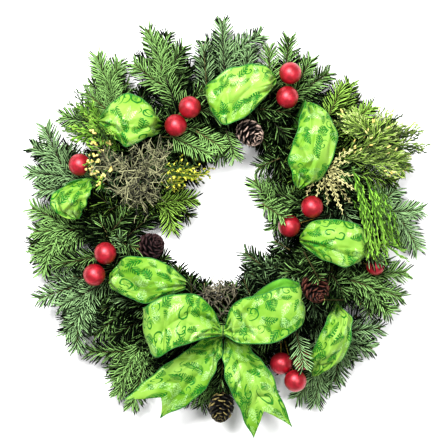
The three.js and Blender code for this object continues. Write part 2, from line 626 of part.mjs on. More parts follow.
// A straight hole down into the moss for what stands at a pixel.
function footHole([px, py], radius) {
  const [low, high] = [STALK_FOOT - CLEARANCE, MOSS_TOP + 1];
  const across = (radius + FOOT_ROOM) * Math.SQRT2;
  const hole = new THREE.CylinderGeometry(across, across, high - low, 4).rotateX(Math.PI / 2);
  return solidOf(hole.translate(...at(px, py, (low + high) / 2).toArray()));
}

// The stalk of a cone, from inside it down into the moss.
function coneStalk({ middle, tip, length, foot }) {
  const heart = at(...middle);
  const base = heart.clone().addScaledVector(new Vector3(...tip).normalize(), -length / 2);
  const root = at(...foot, STALK_FOOT);
  const bend = base.clone().lerp(root, 0.5).setZ(Math.max(MOSS_TOP + 10, base.z * 0.8));
  return wire([heart, base, bend, root.clone().setZ(MOSS_TOP + 3), root], CONE_STALK, 6);
}

// Woody scales in staggered rows, each drawn out towards the cone's tip.
function pineCone(cone) {
  const { middle, tip, length, radius } = cone;
  const axis = new Vector3(...tip).normalize();
  const base = at(...middle).addScaledVector(axis, -length / 2);
  const shares = range(CONE_ROWS + 1).map((i) => i / CONE_ROWS);
  const points = shares.map((t) => base.clone().addScaledVector(axis, t * length));
  const radii = shares.map((t) => Math.max(2.5, (radius - 5) * Math.sin(Math.PI * (0.16 + 0.8 * t)) ** 0.7));
  const tipOf = (i, ring, corners) => {
    const outward = middleOf(corners).sub(ring.centre);
    const rise = outward.dot(axis);
    if (rise < 0.5 * (length / CONE_ROWS)) return null;
    outward.addScaledVector(axis, -rise).normalize();
    const reach = CONE_SCALE * mix(1, 0.5, i / CONE_ROWS);
    return middleOf(corners).addScaledVector(outward, reach * 0.9).addScaledVector(axis, reach * 0.7);
  };
  const up = new Vector3(0.3, 1, 0.2);
  return joined([rod({ points, radii, sides: CONE_COLUMNS, stagger: 0.5, up }, tipOf), coneStalk(cone)]);
}

// ---------------------------------------------------------------- the wreath

const wreath = new THREE.Group();

function add(name, solid, color, roughness = 0.8, metalness = 0) {
  const geometry = geometryOf(solid);
  geometry.computeVertexNormals();
  const mesh = new THREE.Mesh(geometry, new THREE.MeshStandardMaterial({ color, roughness, metalness }));
  mesh.name = name;
  wreath.add(mesh);
}

const dressing = [];
const dress = (name, solid, ...finish) => {
  place(solid);
  dressing.push([name, solid, ...finish]);
};

dress("wire_frame", wireFrame(), 0x3d4a3c, 0.5, 0.8);
dress("binding_wire", bindingWire(), 0x2c4a2c, 0.5, 0.6);
for (const [name, puff] of Object.entries(PUFFS)) dress(name, ribbonSheet(puff, 10, 4), LIME, 0.5);
dress("bow_loops", bowLoops(), LIME, 0.5);
dress("bow_tails", bowTails(), LIME, 0.5);
dress("bow_tie_wire", tieWire(), 0x2c4a2c, 0.5, 0.6);
for (const [side, cluster] of Object.entries(BAUBLES)) {
  cluster.balls.forEach((b, i) => dress(`bauble_${side}_${i + 1}`, ball(b), RED, 0.35, 0.3));
  dress(`bauble_wire_${side}`, clusterWires(cluster), 0xb9a15a, 0.4, 0.9);
}
for (const [name, cone] of Object.entries(CONES)) dress(name, pineCone(cone), 0x4d3626);

const sprays = Object.entries(SPRAYS).map(plannedSpray);
const holes = [
  ...sprays.map(sprayHole),
  ...Object.values(BAUBLES).map(({ foot }) => footHole(foot, PICK_RADIUS)),
  ...Object.values(CONES).map(({ foot }) => footHole(foot, CONE_STALK)),
  ...tieFeet.map((foot) => footHole(foot, PICK_RADIUS)),
];
const moss = mossRing(holes);
place(moss);
add("moss_ring", moss, 0x4a5028, 0.95);
for (const piece of dressing) add(...piece);
for (const spray of sprays) add(spray.name, spraySolid(spray), spray.colour, 0.7);

export default wreath;
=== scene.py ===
"""A fresh evergreen wreath on its back, with ribbon, a bow, baubles and cones: its finished look."""

import math
import random

import bpy
import numpy as np
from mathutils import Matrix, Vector
from mathutils.bvhtree import BVHTree


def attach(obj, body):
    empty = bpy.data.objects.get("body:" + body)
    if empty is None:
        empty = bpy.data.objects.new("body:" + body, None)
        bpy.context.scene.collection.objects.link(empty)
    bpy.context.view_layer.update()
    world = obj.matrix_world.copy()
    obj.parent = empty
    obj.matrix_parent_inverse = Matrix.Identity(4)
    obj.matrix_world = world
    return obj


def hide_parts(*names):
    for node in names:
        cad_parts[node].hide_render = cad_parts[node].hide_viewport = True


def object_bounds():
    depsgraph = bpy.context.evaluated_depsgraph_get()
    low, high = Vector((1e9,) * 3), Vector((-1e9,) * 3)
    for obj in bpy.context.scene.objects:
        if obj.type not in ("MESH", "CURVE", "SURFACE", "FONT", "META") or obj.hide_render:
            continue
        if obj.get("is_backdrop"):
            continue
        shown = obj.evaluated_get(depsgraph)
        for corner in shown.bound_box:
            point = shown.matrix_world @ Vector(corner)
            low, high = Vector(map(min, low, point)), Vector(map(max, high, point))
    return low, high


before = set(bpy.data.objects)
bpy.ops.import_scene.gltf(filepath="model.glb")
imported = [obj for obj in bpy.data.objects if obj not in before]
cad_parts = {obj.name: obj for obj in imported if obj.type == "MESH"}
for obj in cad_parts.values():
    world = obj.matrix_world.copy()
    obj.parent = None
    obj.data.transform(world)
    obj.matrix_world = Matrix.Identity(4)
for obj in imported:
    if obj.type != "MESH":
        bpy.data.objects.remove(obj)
cad_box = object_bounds()

# ---------------------------------------------------------------- sizes, in millimetres

MM = 0.001  # metres
MM_PER_PIXEL = 1.35
CENTRE_PIXEL = (226, 223.5)

RING_RADIUS = 155
HOOP_OFFSET = 16
HOOP_WIRE = 3
HOOP_HEIGHT = 3.5  # middle of the hoops, above the surface
STRUTS = 8
STRUT_WIDTH = 3
STRUT_HEIGHT = 2.6
BIND_WIRE = 0.8
BIND_TURNS = 10
BIND_START = 18  # degrees
MOSS_TOP = 36  # heights of its top, middle and flat side
MOSS_MIDDLE = 20.6
MOSS_UNDERSIDE = 5.4
MOSS_HALF_WIDTH = 23.2
MOSS_HALF_HEIGHT = 15.2
MOSS_FIBRES = 5200

RIBBON_THICK = 0.5
RIBBON_WIDTH = 63  # flat, from wired edge to wired edge
RIBBON_ROWS = 60  # of faces, from edge to edge
PATTERN_SHIFT = 3.7  # along the roll from one stretch to the next, in ribbon widths
THREADS = 900  # turn of the weave's waves over a ribbon width, in radians
HEM_RADIUS = 0.6
PLEATS = 7  # across the ribbon where it is gathered
PLEAT_HEIGHT = (3.6, 6.4)
PLEAT_SHARPNESS = 0.055  # in ribbon widths
PLEAT_FADE = 30  # how far the pleats run out of a gathered end
CREASES = 9  # soft ones on each stretch
TUCKS = 11  # sharp ones
# The length and the sharpness of a crease or tuck in ribbon widths, and its height.
CREASE = ((0.25, 0.55), (0.07, 0.12), (4.0, 7.6))
TUCK = ((0.14, 0.36), (0.03, 0.05), (2.0, 3.8))
CROWN_SHARE = 0.55  # of the plain solid's crown, under the folds
PICK_RADIUS = 0.7
STALK_RADIUS = 1.5
STALK_FOOT = 20  # height of the feet of stalks and picks, in the moss
CONE_SCALES = 58
BALL_MESH = {"segments": 48, "ring_count": 32}
CAP_HEIGHT = 4
CAP_RADIUS = 3.6

GOLDEN_TURN = math.pi * (3 - math.sqrt(5))
FIRST_FORK = 34  # along each main stem
FORK_SPACING = {"fir": 17, "cedar": 16, "cypress": 18, "twig": 17}
FIR_STEM = (1.7, 0.9)  # radius at the foot and at the tip
NEEDLE_LENGTH = 23.5
NEEDLE_THICK = 0.42
RANK_GAP = 3.3  # between one rank of needles and the next, along a shoot
# A rank: each needle's rise from level and lean from the shoot in degrees, its share of the full length,
# and how much lighter it is than its shoot: painted shade on the low side ranks, painted light on the upper
# ones.
RANK = [
    (-16, 58, 1.0, -0.8),
    (17, 53, 1.0, 0.0),
    (52, 44, 0.74, 0.15),
    (128, 44, 0.74, 0.15),
    (163, 53, 1.0, 0.0),
    (196, 58, 1.0, -0.8),
]
TIP_LEAN = 32
SIDE_SHOOT_GAP = (11, 17)
SIDE_SHOOT_LEAN = (40, 52)  # degrees
FLOOR_ROOM = 0.8  # under any foliage
REACH_ROOM = 1.04  # of a needle's length, kept clear of the dressing

SKY_STRENGTH = 0.45
CAMERA_HEIGHT = 4.0  # metres
FRAME_PIXELS = 448
SUBJECT_HEIGHT = 60  # where the photograph's scale holds

# ---------------------------------------------------------------- layout, by pixel and height

LOW = {"root": 20, "run": 25}
HIGH = {"root": 26, "run": 50}
TALL = {"root": 26, "run": 74}

# Fir sprays: needle finish, level, root pixel and tips with their lift above the run.
FIR_SPRAYS = {
    "fir_e": ("blue", LOW, (337, 215), [(425, 210, 2), (400, 187, 0), (397, 228, 0), (420, 252, 4)]),
    "fir_se": ("green", HIGH, (326, 272), [(404, 298, 0), (409, 272, 2), (393, 315, 0)]),
    "fir_sse": ("blue", LOW, (297, 310), [(352, 362, 0), (384, 329, 2), (376, 350, 0), (335, 385, 2),
                                          (316, 408, 0), (296, 401, 2)]),
    "fir_s": ("green", LOW, (232, 334), [(248, 398, 0), (204, 398, -2), (272, 400, 0), (174, 402, 0)]),
    "fir_sw": ("green", LOW, (156, 310), [(115, 399, 2), (130, 410, 0), (86, 353, 0), (112, 384, 2)]),
    "fir_w": ("blue", HIGH, (125, 272), [(57, 308, 0), (36, 300, 0), (64, 337, 2), (76, 352, 0)]),
    "fir_wnw": ("green", LOW, (113, 228), [(30, 232, 2), (30, 256, 0), (28, 207, 0), (40, 276, 2)]),
    "fir_nw": ("blue", HIGH, (121, 182), [(27, 172, 0), (37, 190, 2), (30, 146, 0), (44, 124, 2)]),
    "fir_nnw": ("green", LOW, (149, 144), [(83, 90, 0), (59, 115, 2), (95, 52, 2), (119, 58, 0)]),
    "fir_n": ("green", HIGH, (182, 122), [(147, 27, 0), (132, 62, 2), (184, 44, 0)]),
    "fir_nne": ("blue", LOW, (226, 113), [(222, 17, 4), (206, 58, 0), (245, 50, 2), (263, 32, 0)]),
    "fir_ne": ("green", HIGH, (277, 124), [(312, 57, 0), (290, 35, 0), (331, 71, 0)]),
    "fir_ene": ("yellow", LOW, (313, 154), [(375, 104, 2), (352, 80, 0), (398, 150, 2), (408, 172, 0)]),
    "fir_inner_n": ("green", LOW, (218, 117), [(232, 160, 10), (207, 162, 6)]),
    "fir_inner_e": ("green", LOW, (331, 196), [(262, 213, 8), (256, 190, 10), (268, 237, 8), (250, 172, 6)]),
    "fir_inner_se": ("blue", LOW, (303, 297), [(238, 247, 14), (262, 258, 8), (240, 276, 6)]),
    "fir_inner_w": ("yellow", LOW, (123, 204), [(204, 198, 14), (189, 204, 10), (172, 240, 8)]),
}
# Sprays of long strings of scale leaves: kind, level, root pixel and tips.
STRAND_SPRAYS = {
    "cedar_e": ("cedar", TALL, (322, 168),
                [(412, 130, -6), (398, 163, -4), (409, 143, -8), (386, 131, 2), (352, 124, 4)]),
    "cedar_w": ("cedar", TALL, (128, 160), [(80, 104, -6), (92, 114, 2), (84, 134, 4), (103, 130, 8)]),
    "cedar_inner": ("cedar", HIGH, (136, 184), [(207, 174, -4), (190, 168, 6), (176, 183, 8)]),
    "cypress_e": ("cypress", TALL, (347, 190),
                  [(384, 254, 20), (392, 238, 8), (376, 252, 28), (366, 246, 30), (388, 246, 14)]),
}
# Pale old strands, then clusters of small cones, that lie over the sprays: where each one ends.
STRAW_STRANDS = {
    "cedar_e": [(306, 194, 84), (316, 198, 82), (328, 204, 80), (342, 212, 80), (350, 203, 82),
                (354, 190, 84),
                (350, 176, 84), (346, 162, 88), (352, 150, 86), (336, 196, 88), (344, 184, 92),
                (338, 172, 94)],
}
CONE_CLUSTERS = {
    "cedar_w": [(104, 139, 84), (108, 142, 82), (89, 129, 80), (92, 143, 84), (98, 150, 86), (91, 155, 90),
                (96, 162, 91), (88, 162, 93), (88, 170, 93), (93, 174, 91), (101, 178, 84), (96, 186, 84),
                (109, 171, 84)],
}
# Long strings that hang side by side over the ribbon: where each starts and ends.
LONG_STRINGS = {
    "cypress_e": [((350 + 34 * k, 174 + 18 * k, 78), (368 + 31 * k, 256 - 14 * k, 104 - 26 * k))
                  for k in (i / 19 for i in range(20))],
    "cedar_inner": [((158, 176, 90), (206, 175, 80)), ((158, 171, 94), (194, 166, 86)),
                    ((160, 182, 90), (188, 185, 82)), ((164, 171, 92), (201, 182, 80)),
                    ((160, 178, 96), (180, 172, 94))],
}
# The gap between short strings along a long one, their angle, length, swing and thickness. Then how many
# strands a stem carries, their length and how far they fan out, and the share of strings that end in a small
# cone, its width and its length for each unit of width.
STRAND_LOOKS = {
    "cedar_e": {"gap": 5.4, "spread": 19, "side": 18, "swing": 0.28, "thick": 0.74, "strands": 12,
                "reach": (28, 50), "fan": 0.5, "beads": 0.3, "bead": 2.5, "oval": 2.4},
    "cedar_w": {"gap": 5.0, "spread": 18, "side": 15, "swing": 0.28, "thick": 0.7, "strands": 8,
                "reach": (28, 46), "fan": 0.42, "beads": 0, "bead": 3.8},
    "cedar_inner": {"gap": 4.6, "spread": 38, "side": 8.5, "swing": 0.55, "thick": 1.0, "strands": 5,
                    "reach": (18, 32), "fan": 0.7, "beads": 0.24, "bead": 2.5, "oval": 1.7},
    "cypress_e": {"gap": 9, "spread": 13, "side": 13, "swing": 0.16, "thick": 0.5, "strands": 5,
                  "reach": (30, 46), "fan": 0.15, "beads": 0},
    "straw": {"gap": 3.8, "spread": 36, "side": 8, "swing": 0.6, "thick": 0.46},
}
TWIG_SPRAYS = {
    "twigs_w": (TALL, (118, 195),
                [(160, 150, 6), (104, 168, 8), (148, 168, 12), (124, 190, 6), (146, 196, -4)]),
    "twigs_s": (TALL, (212, 328), [(238, 292, -14), (200, 292, -18), (216, 288, -10)]),
}

# How near the foliage comes to the middle, in pixels, every 15 degrees anticlockwise from the right.
INNER_EDGE = (46, 44, 43, 53, 61, 70, 75, 58, 42, 40, 43, 54, 52, 48, 54, 64, 54, 56, 58, 56, 42, 36, 40, 49)
# Shoots that lie over others, fill a gap between them, or lie partly over a bauble or a cone: where each
# starts and ends, and how light it is.
ACCENT_SHOOTS = {
    "fir_n": [((170, 136, 58), (212, 156, 66), 1.0), ((196, 131, 58), (224, 149, 64), 0.85),
              ((160, 80, 50), (164, 38, 48), 0.7)],
    "fir_nne": [((207, 92, 40), (203, 42, 34), 0.5), ((236, 98, 34), (252, 48, 30), 0.5)],
    "fir_ne": [((270, 98, 54), (269, 46, 48), 0.7)],
    "fir_ene": [((328, 118, 42), (343, 84, 36), 0.7), ((350, 172, 36), (398, 181, 32), 0.35)],
    "fir_inner_n": [((226, 130, 50), (236, 160, 62), 0.9)],
    "fir_inner_e": [((262, 204, 78), (285, 219, 96), 0.8), ((280, 158, 46), (257, 168, 50), 0.3)],
    "fir_inner_se": [((290, 250, 48), (274, 240, 50), 0.2), ((252, 300, 40), (243, 278, 42), 0.2)],
    "fir_se": [((304, 252, 58), (319, 281, 112), 0.35), ((344, 300, 56), (322, 299, 106), 0.2)],
    "fir_s": [((206, 304, 40), (204, 282, 44), 0.15), ((222, 304, 40), (224, 285, 44), 0.3),
              ((236, 304, 40), (235, 283, 44), 0.2), ((192, 298, 42), (190, 276, 46), 0.2),
              ((224, 340, 56), (221, 388, 62), 0.15), ((206, 352, 36), (196, 392, 40), 0.2)],
    "fir_w": [((138, 264, 42), (116, 236, 56), 0.4), ((112, 276, 44), (66, 278, 40), 0.35)],
    "fir_wnw": [((106, 236, 48), (140, 250, 56), 0.3), ((100, 256, 40), (52, 266, 36), 0.4)],
    "fir_sw": [((176, 288, 44), (178, 266, 46), 0.15), ((150, 266, 36), (168, 258, 38), 0.2),
               ((132, 296, 32), (78, 322, 30), 0.3), ((130, 306, 28), (92, 338, 26), 0.3),
               ((126, 288, 36), (72, 300, 34), 0.35)],
    "fir_sse": [((296, 332, 84), (304, 368, 98), 0.9)],
    "fir_e": [((348, 250, 60), (384, 262, 88), 0.5)],
}
# How much lighter or darker some sprays are than the rest.
SPRAY_SHADE = {"fir_w": -0.22, "fir_inner_se": -0.25, "fir_wnw": -0.1, "fir_e": 0.15, "fir_se": 0.05}
OUTER_COVER = 160  # pixels from the middle, where the short shoots that cover the moss end
# Short shoots that hide the moss. A low or high row has its height and arch in millimetres, and its ends stay
# back from the edge of the foliage by some pixels. Shoots that point inwards or outwards start at a distance
# from the middle of the ring, end at one in pixels from that edge, and swing round the ring by some degrees.
# A row's tint is the most that its needles' lightness reaches, kept low and lowest in the low row: painted
# shade on the shoots beneath.
LOW_ROW = {"height": 30, "arch": 10, "back": 0, "tint": 0.16}
HIGH_ROW = {"height": 38, "arch": 22, "back": 22, "tint": 0.4}
INWARDS = {"start": (-8, 12), "end": (14, 26), "swing": (4, 15)}
OUTWARDS = {"start": (-14, 8), "end": (-16, 4), "swing": (2, 14)}
COVER_ROWS = [
    (56, INWARDS, LOW_ROW),
    (52, OUTWARDS, LOW_ROW),
    (44, INWARDS, HIGH_ROW),
    (40, OUTWARDS, HIGH_ROW),
]
UNDER_BOW = (195, 295)  # bearings where the inner ones end a little nearer to the middle
UNDER_BOW_MORE = 7  # pixels

# Clusters of baubles: the foot of the pick, then each ball's middle and radius.
BAUBLES = {
    "nw": ((196, 117), [(190, 108, 86, 15), (176, 126, 84, 15)]),
    "ne": ((276, 116), [(290, 74, 84, 15), (287, 98, 86, 15)]),
    "e": ((334, 214), [(311.5, 207, 86, 15), (289, 226, 78, 15)]),
    "ese": ((338, 258), [(375, 266, 70, 12.5)]),
    "sse": ((281, 324), [(281, 363, 72, 15), (295, 380, 80, 15), (303, 359, 58, 15)]),
    "sw": ((121, 268), [(106, 253, 86, 15), (95, 274.5, 84, 15)]),
    "w": ((110, 187), [(80, 165, 74, 15)]),
}

# Cones: middle, the way the tip points, length, widest radius and the foot of the stalk.
CONES = {
    "cone_n": ((251, 134, 62), (0.5, -0.45, 0.75), 44, 18, (240, 116)),
    "cone_w": ((151, 246, 50), (0.5, 0.3, 0.8), 46, 19, (122, 236)),
    "cone_se": ((316, 289, 84), (0.25, -0.5, 0.8), 50, 19, (316, 282)),
    "cone_s": ((221, 409, 54), (-0.1, -0.65, 0.7), 46, 18, (222, 343)),
}

# Ribbon: the flat length of the stretch, how far its middle stands proud, and its two edges.
PUFFS = {
    "ribbon_nw": (110, 20,
        [(100, 118, 76), (115, 99, 84), (133, 94, 88), (149, 102, 86), (156, 114, 70), (159, 124, 37)],
        [(100, 124, 76), (116, 141, 84), (126, 148, 86), (144, 141, 86), (155, 137, 72), (163, 130, 37)]),
    "ribbon_n": (150, 20,
        [(276, 82, 74), (262, 104, 86), (240, 121, 92), (222, 126, 90), (210, 112, 82), (208, 96, 66),
         (217, 112, 37)],
        [(275, 76, 74), (265, 66, 84), (250, 63, 88), (232, 68, 88), (216, 76, 84), (204, 90, 68),
         (222, 108, 37)]),
    "ribbon_ne": (170, 20,
        [(296, 187, 74), (289, 174, 84), (287, 158, 90), (292, 140, 92), (298, 119, 88), (304, 101, 70),
         (291, 128, 37.3)],
        [(301, 189, 74), (322, 178, 84), (334, 158, 90), (338, 137, 92), (332, 119, 88), (310, 103, 70),
         (296, 131, 37.3)]),
    "ribbon_e": (150, 18,
        [(300, 237, 74), (309, 222, 84), (330, 217, 90), (350, 221, 90), (365, 232, 84), (369, 250, 64),
         (344, 243, 37.4)],
        [(300, 242, 74), (310, 253, 84), (327, 264, 88), (345, 267, 88), (358, 264, 82), (365, 255, 62),
         (341, 249, 37.4)]),
    "ribbon_se": (122, 16,
        [(312, 376, 62), (308, 364, 72), (314, 341, 80), (325, 319, 80), (331, 307, 66), (325, 294, 37)],
        [(317, 376, 62), (340, 362, 72), (351, 342, 80), (354, 320, 80), (341, 306, 66), (328, 289, 37)]),
    "ribbon_sw": (150, 20,
        [(185, 289, 76), (164, 298, 86), (143, 303, 88), (122, 296, 82), (113, 290, 74), (111, 285, 64),
         (125, 277, 37)],
        [(186, 279, 76), (172, 266, 86), (150, 256, 90), (127, 256, 86), (113, 269, 76), (110, 281, 66),
         (124, 272, 37)]),
    "ribbon_w": (88, 15,
        [(75, 219, 62), (55, 213, 70), (49, 202, 76), (56, 190, 78), (72, 181, 76), (90, 178, 68),
         (115, 194, 37)],
        [(79, 219, 62), (84, 212, 70), (89, 203, 76), (92, 195, 78), (93, 188, 76), (92, 181, 68),
         (113, 199, 37)]),
}
KNOT = (223, 330)
LOOPS = {
    "bow_loop_left": (260, 6,
        [(221, 334, 106), (205, 338, 114), (186, 344, 124), (168, 351, 126), (156, 357, 116), (152, 352, 100),
         (166, 345, 88), (195, 338, 84), (220, 334, 90)],
        [(221, 326, 106), (212, 304, 116), (195, 292, 124), (170, 293, 128), (148, 302, 120), (144, 306, 104),
         (162, 299, 92), (195, 306, 86), (220, 326, 90)]),
    "bow_loop_right": (260, 6,
        [(225, 326, 106), (232, 304, 116), (253, 293, 124), (275, 285, 128), (295, 284, 120), (297, 280, 106),
         (284, 276, 94), (252, 294, 86), (226, 326, 90)],
        [(225, 334, 106), (238, 342, 112), (258, 344, 124), (282, 339, 126), (300, 327, 116), (303, 316, 100),
         (293, 318, 88), (262, 328, 84), (226, 334, 90)]),
}
TAILS = {
    "bow_tail_left": (140, 7,
        [(222, 339, 76), (223, 350, 80), (220, 364, 84), (211, 382, 86), (192, 402, 80), (160, 418, 64)],
        [(221, 334, 76), (204, 338, 80), (186, 348, 84), (164, 364, 86), (143, 381, 80), (124, 399, 68)]),
    "bow_tail_right": (140, 7,
        [(226, 334, 76), (243, 340, 80), (256, 350, 84), (268, 366, 86), (281, 392, 78), (292, 427, 60)],
        [(225, 339, 76), (222, 350, 80), (222, 366, 84), (227, 388, 86), (239, 412, 78), (254, 438, 62)]),
}
TAIL_NOTCH = 0.15
LOOP_PINCH = (86, 110, 24, 16)  # low, high, width and depth of the cloth gathered in the knot
TAIL_PINCH = (68, 85.6, 22, 16)


def at(px, py, z):
    """A pixel of the photograph and a height in millimetres, as a point in metres."""
    return np.array([(px - CENTRE_PIXEL[0]) * MM_PER_PIXEL, (CENTRE_PIXEL[1] - py) * MM_PER_PIXEL, z]) * MM


# ---------------------------------------------------------------- finishes


def math_node(operation):
    """A method of Value that adds one Math node, with the value itself as the first input."""
    return lambda value, *others: value.finish.maths(operation, value, *others)


class Value:
    """A number, colour or vector in a finish. Arithmetic on it adds the Math nodes."""

    def __init__(self, finish, socket):
        self.finish = finish
        self.socket = socket

    __add__ = __radd__ = math_node("ADD")
    __mul__ = __rmul__ = math_node("MULTIPLY")
    __sub__ = math_node("SUBTRACT")
    __truediv__ = math_node("DIVIDE")
    __pow__ = math_node("POWER")
    sine = math_node("SINE")
    size = math_node("ABSOLUTE")
    fraction = math_node("FRACT")
    most = math_node("MAXIMUM")
    arctan2 = math_node("ARCTAN2")

    def __rsub__(self, other):
        return self.finish.maths("SUBTRACT", other, self)

    def within(self, low, high):
        """0 below low, 1 above high, and a smooth step between."""
        settings = {"interpolation_type": "SMOOTHSTEP"}
        return self.finish.node("ShaderNodeMapRange", settings, {0: self, 1: low, 2: high})

    def channels(self):
        """The three parts of a colour or vector."""
        parts = self.finish.node("ShaderNodeSeparateXYZ", {}, {0: self}).socket.node.outputs
        return [Value(self.finish, parts[i]) for i in range(3)]


def rgb(red, green, blue):
    """A colour as it reads on a screen, from 0 to 255, as the linear colour of the shader."""
    linear = [c / 3294.6 if c <= 10 else ((c / 255 + 0.055) / 1.055) ** 2.4 for c in (red, green, blue)]
    return (*linear, 1.0)


class Finish:
    """A material for one of the wreath's surfaces."""

    def __init__(self, name, roughness=0.5, **fixed):
        self.material = bpy.data.materials.new(name)
        self.material.use_nodes = True
        self.tree = self.material.node_tree
        self.set(Roughness=roughness, **fixed)

    def set(self, **sockets):
        for label, value in sockets.items():
            self.feed(self.tree.nodes["Principled BSDF"].inputs[label.replace("_", " ")], value)

    def feed(self, socket, value):
        if isinstance(value, Value):
            self.tree.links.new(value.socket, socket)
        else:
            socket.default_value = value

    def node(self, kind, settings, sockets, out=0):
        made = self.tree.nodes.new(kind)
        for name, value in settings.items():
            setattr(made, name, value)
        for key, value in sockets.items():
            self.feed(made.inputs[key], value)
        return Value(self, made.outputs[out])

    def maths(self, operation, *values):
        return self.node("ShaderNodeMath", {"operation": operation}, dict(enumerate(values)))

    def vector_maths(self, operation, *values):
        return self.node("ShaderNodeVectorMath", {"operation": operation}, dict(enumerate(values)))

    def coordinates(self, kind):
        return self.node("ShaderNodeTexCoord", {}, {}, kind)

    def marks(self):
        """What each copy carries: its own tint, how far along it a point is, and how far up its back."""
        return self.node("ShaderNodeAttribute", {"attribute_name": "marks"}, {}, "Vector").channels()

    def noise(self, scale, detail=3):
        place = self.coordinates("Object")
        sockets = {"Scale": scale, "Detail": detail, "Roughness": 0.55, "Vector": place}
        return self.node("ShaderNodeTexNoise", {}, sockets)

    def cells(self, scale, out="Distance"):
        place = self.coordinates("Object")
        return self.node("ShaderNodeTexVoronoi", {}, {"Scale": scale, "Vector": place}, out)

    def blend(self, share, low, high):
        """Between two colours: each is a value, or three numbers as on a screen, or four linear ones."""
        low, high = (rgb(*c) if isinstance(c, tuple) and len(c) == 3 else c for c in (low, high))
        return self.node("ShaderNodeMix", {"data_type": "RGBA"}, {0: share, 6: low, 7: high}, 2)

    def paint(self, share, low, high):
        self.set(Base_Color=self.blend(share, low, high))

    def bumped(self, height, depth, strength):
        """The material, with bumps up to a depth in metres."""
        sockets = {"Height": height, "Distance": depth, "Strength": strength}
        self.set(Normal=self.node("ShaderNodeBump", {}, sockets))
        return self.material


def needle_finish(name, dark, light, under):
    """Waxy needles: a painted highlight along each ridge and towards the tip, painted shade at the margins
    and the base, lighter or darker by shoot and by patch, silvery beneath.
    """
    finish = Finish(name, IOR=1.45, Specular_IOR_Level=0.08)
    tint, along, rise = finish.marks()
    patch = finish.noise(60, 2)
    # painted highlight along the top of each needle and towards its tip, painted shade at its margins and
    # base
    painted_ridge_light = (rise + along * 0.35).within(0.15, 0.9)
    shade = ((tint + patch * 0.4 - 0.3 + along * 0.2) * (0.1 + painted_ridge_light * 0.9)).within(0.05, 0.97)
    finish.paint((0 - rise).within(0.2, 1) * 0.7, finish.blend(shade, dark, light), under)
    finish.set(Roughness=0.42 + patch * 0.2)
    return finish.bumped(finish.noise(900, 2), 0.0003, 0.3)


def bark_finish(name, dark, light, scale=300):
    finish = Finish(name, 0.8)
    tint = finish.marks()[0]
    grain = finish.noise(scale, 4)
    finish.paint((grain * 0.6 + tint * 0.9 - 0.3).within(0, 1), dark, light)
    finish.set(Roughness=0.65 + grain * 0.3)
    return finish.bumped(grain, 0.0008, 0.6)


def scale_leaf_finish(name, dark, light, tip, turns):
    """Cedar and cypress: overlapping scale leaves with painted light on top of each leaf and painted shade
    beneath, paler or golden beyond a share of each string.
    """
    finish = Finish(name, Specular_IOR_Level=0.25)
    tint, along, rise = finish.marks()
    grain = finish.noise(700, 2)
    # painted light on the top of each scale leaf, painted shade on its lower side; it also dims the golden
    # tips on the lower side
    painted_ridge_light = rise.within(-0.3, 0.6)
    shade = ((tint * 0.9 + grain * 0.4 - 0.15) * (0.2 + painted_ridge_light * 0.8)).within(0, 0.9)
    golden = (along * (0.45 + tint * 0.8)).within(turns, 1.05) * (0.35 + painted_ridge_light * 0.65)
    finish.paint(golden, finish.blend(shade, dark, light), tip)
    finish.set(Roughness=0.45 + grain * 0.3)
    return finish.bumped(finish.cells(900), 0.0004, 0.5)


def pollen_finish():
    finish = Finish("cedar_pollen_cones", 0.7)
    tint = finish.marks()[0]
    grain = finish.cells(1100)
    finish.paint(tint * 0.8 + grain * 0.3, (170, 150, 66), (212, 200, 130))
    return finish.bumped(grain, 0.0004, 0.7)


def cone_finish(name, dark, edge, worn_from):
    """Woody scales, dark inside and paler at their worn tips."""
    finish = Finish(name, 0.7, Specular_IOR_Level=0.3)
    tint, along, _ = finish.marks()
    grain = finish.noise(260, 4)
    finish.paint((along + grain * 0.5 + tint * 0.25 - 0.38).within(worn_from, worn_from + 0.3), dark, edge)
    finish.set(Roughness=0.5 + grain * 0.35)
    return finish.bumped(grain, 0.0006, 0.7)


def moss_finish():
    finish = Finish("packed_moss_painted_shade", 0.95, Specular_IOR_Level=0.1)
    tint, along, _ = finish.marks()
    # the moss's own dark green-brown, made darker still as painted shade deep under the foliage
    colour = finish.blend(finish.noise(45, 4).within(0.35, 0.65), (24, 27, 10), (58, 62, 24))
    finish.paint((tint * along).within(0.2, 1), colour, (96, 92, 44))
    return finish.bumped(finish.noise(420, 5), 0.004, 0.9)


def wire_finish(name, base, worn, metal):
    finish = Finish(name, 0.4, Metallic=metal)
    rubbed = finish.noise(180, 4).within(0.5, 0.72)
    finish.paint(rubbed, base, worn)
    finish.set(Roughness=0.32 + rubbed * 0.3)
    return finish.material


def bauble_finish():
    """Satin lacquer over silvered plastic, with a faint mottling."""
    finish = Finish("satin_red_bauble", Metallic=0.5, Coat_Weight=0.5, Coat_Roughness=0.45)
    mottle = finish.noise(140)
    finish.paint(mottle.within(0.3, 0.75), (132, 6, 22), (174, 20, 44))
    finish.set(Roughness=0.38 + mottle * 0.08)
    return finish.material


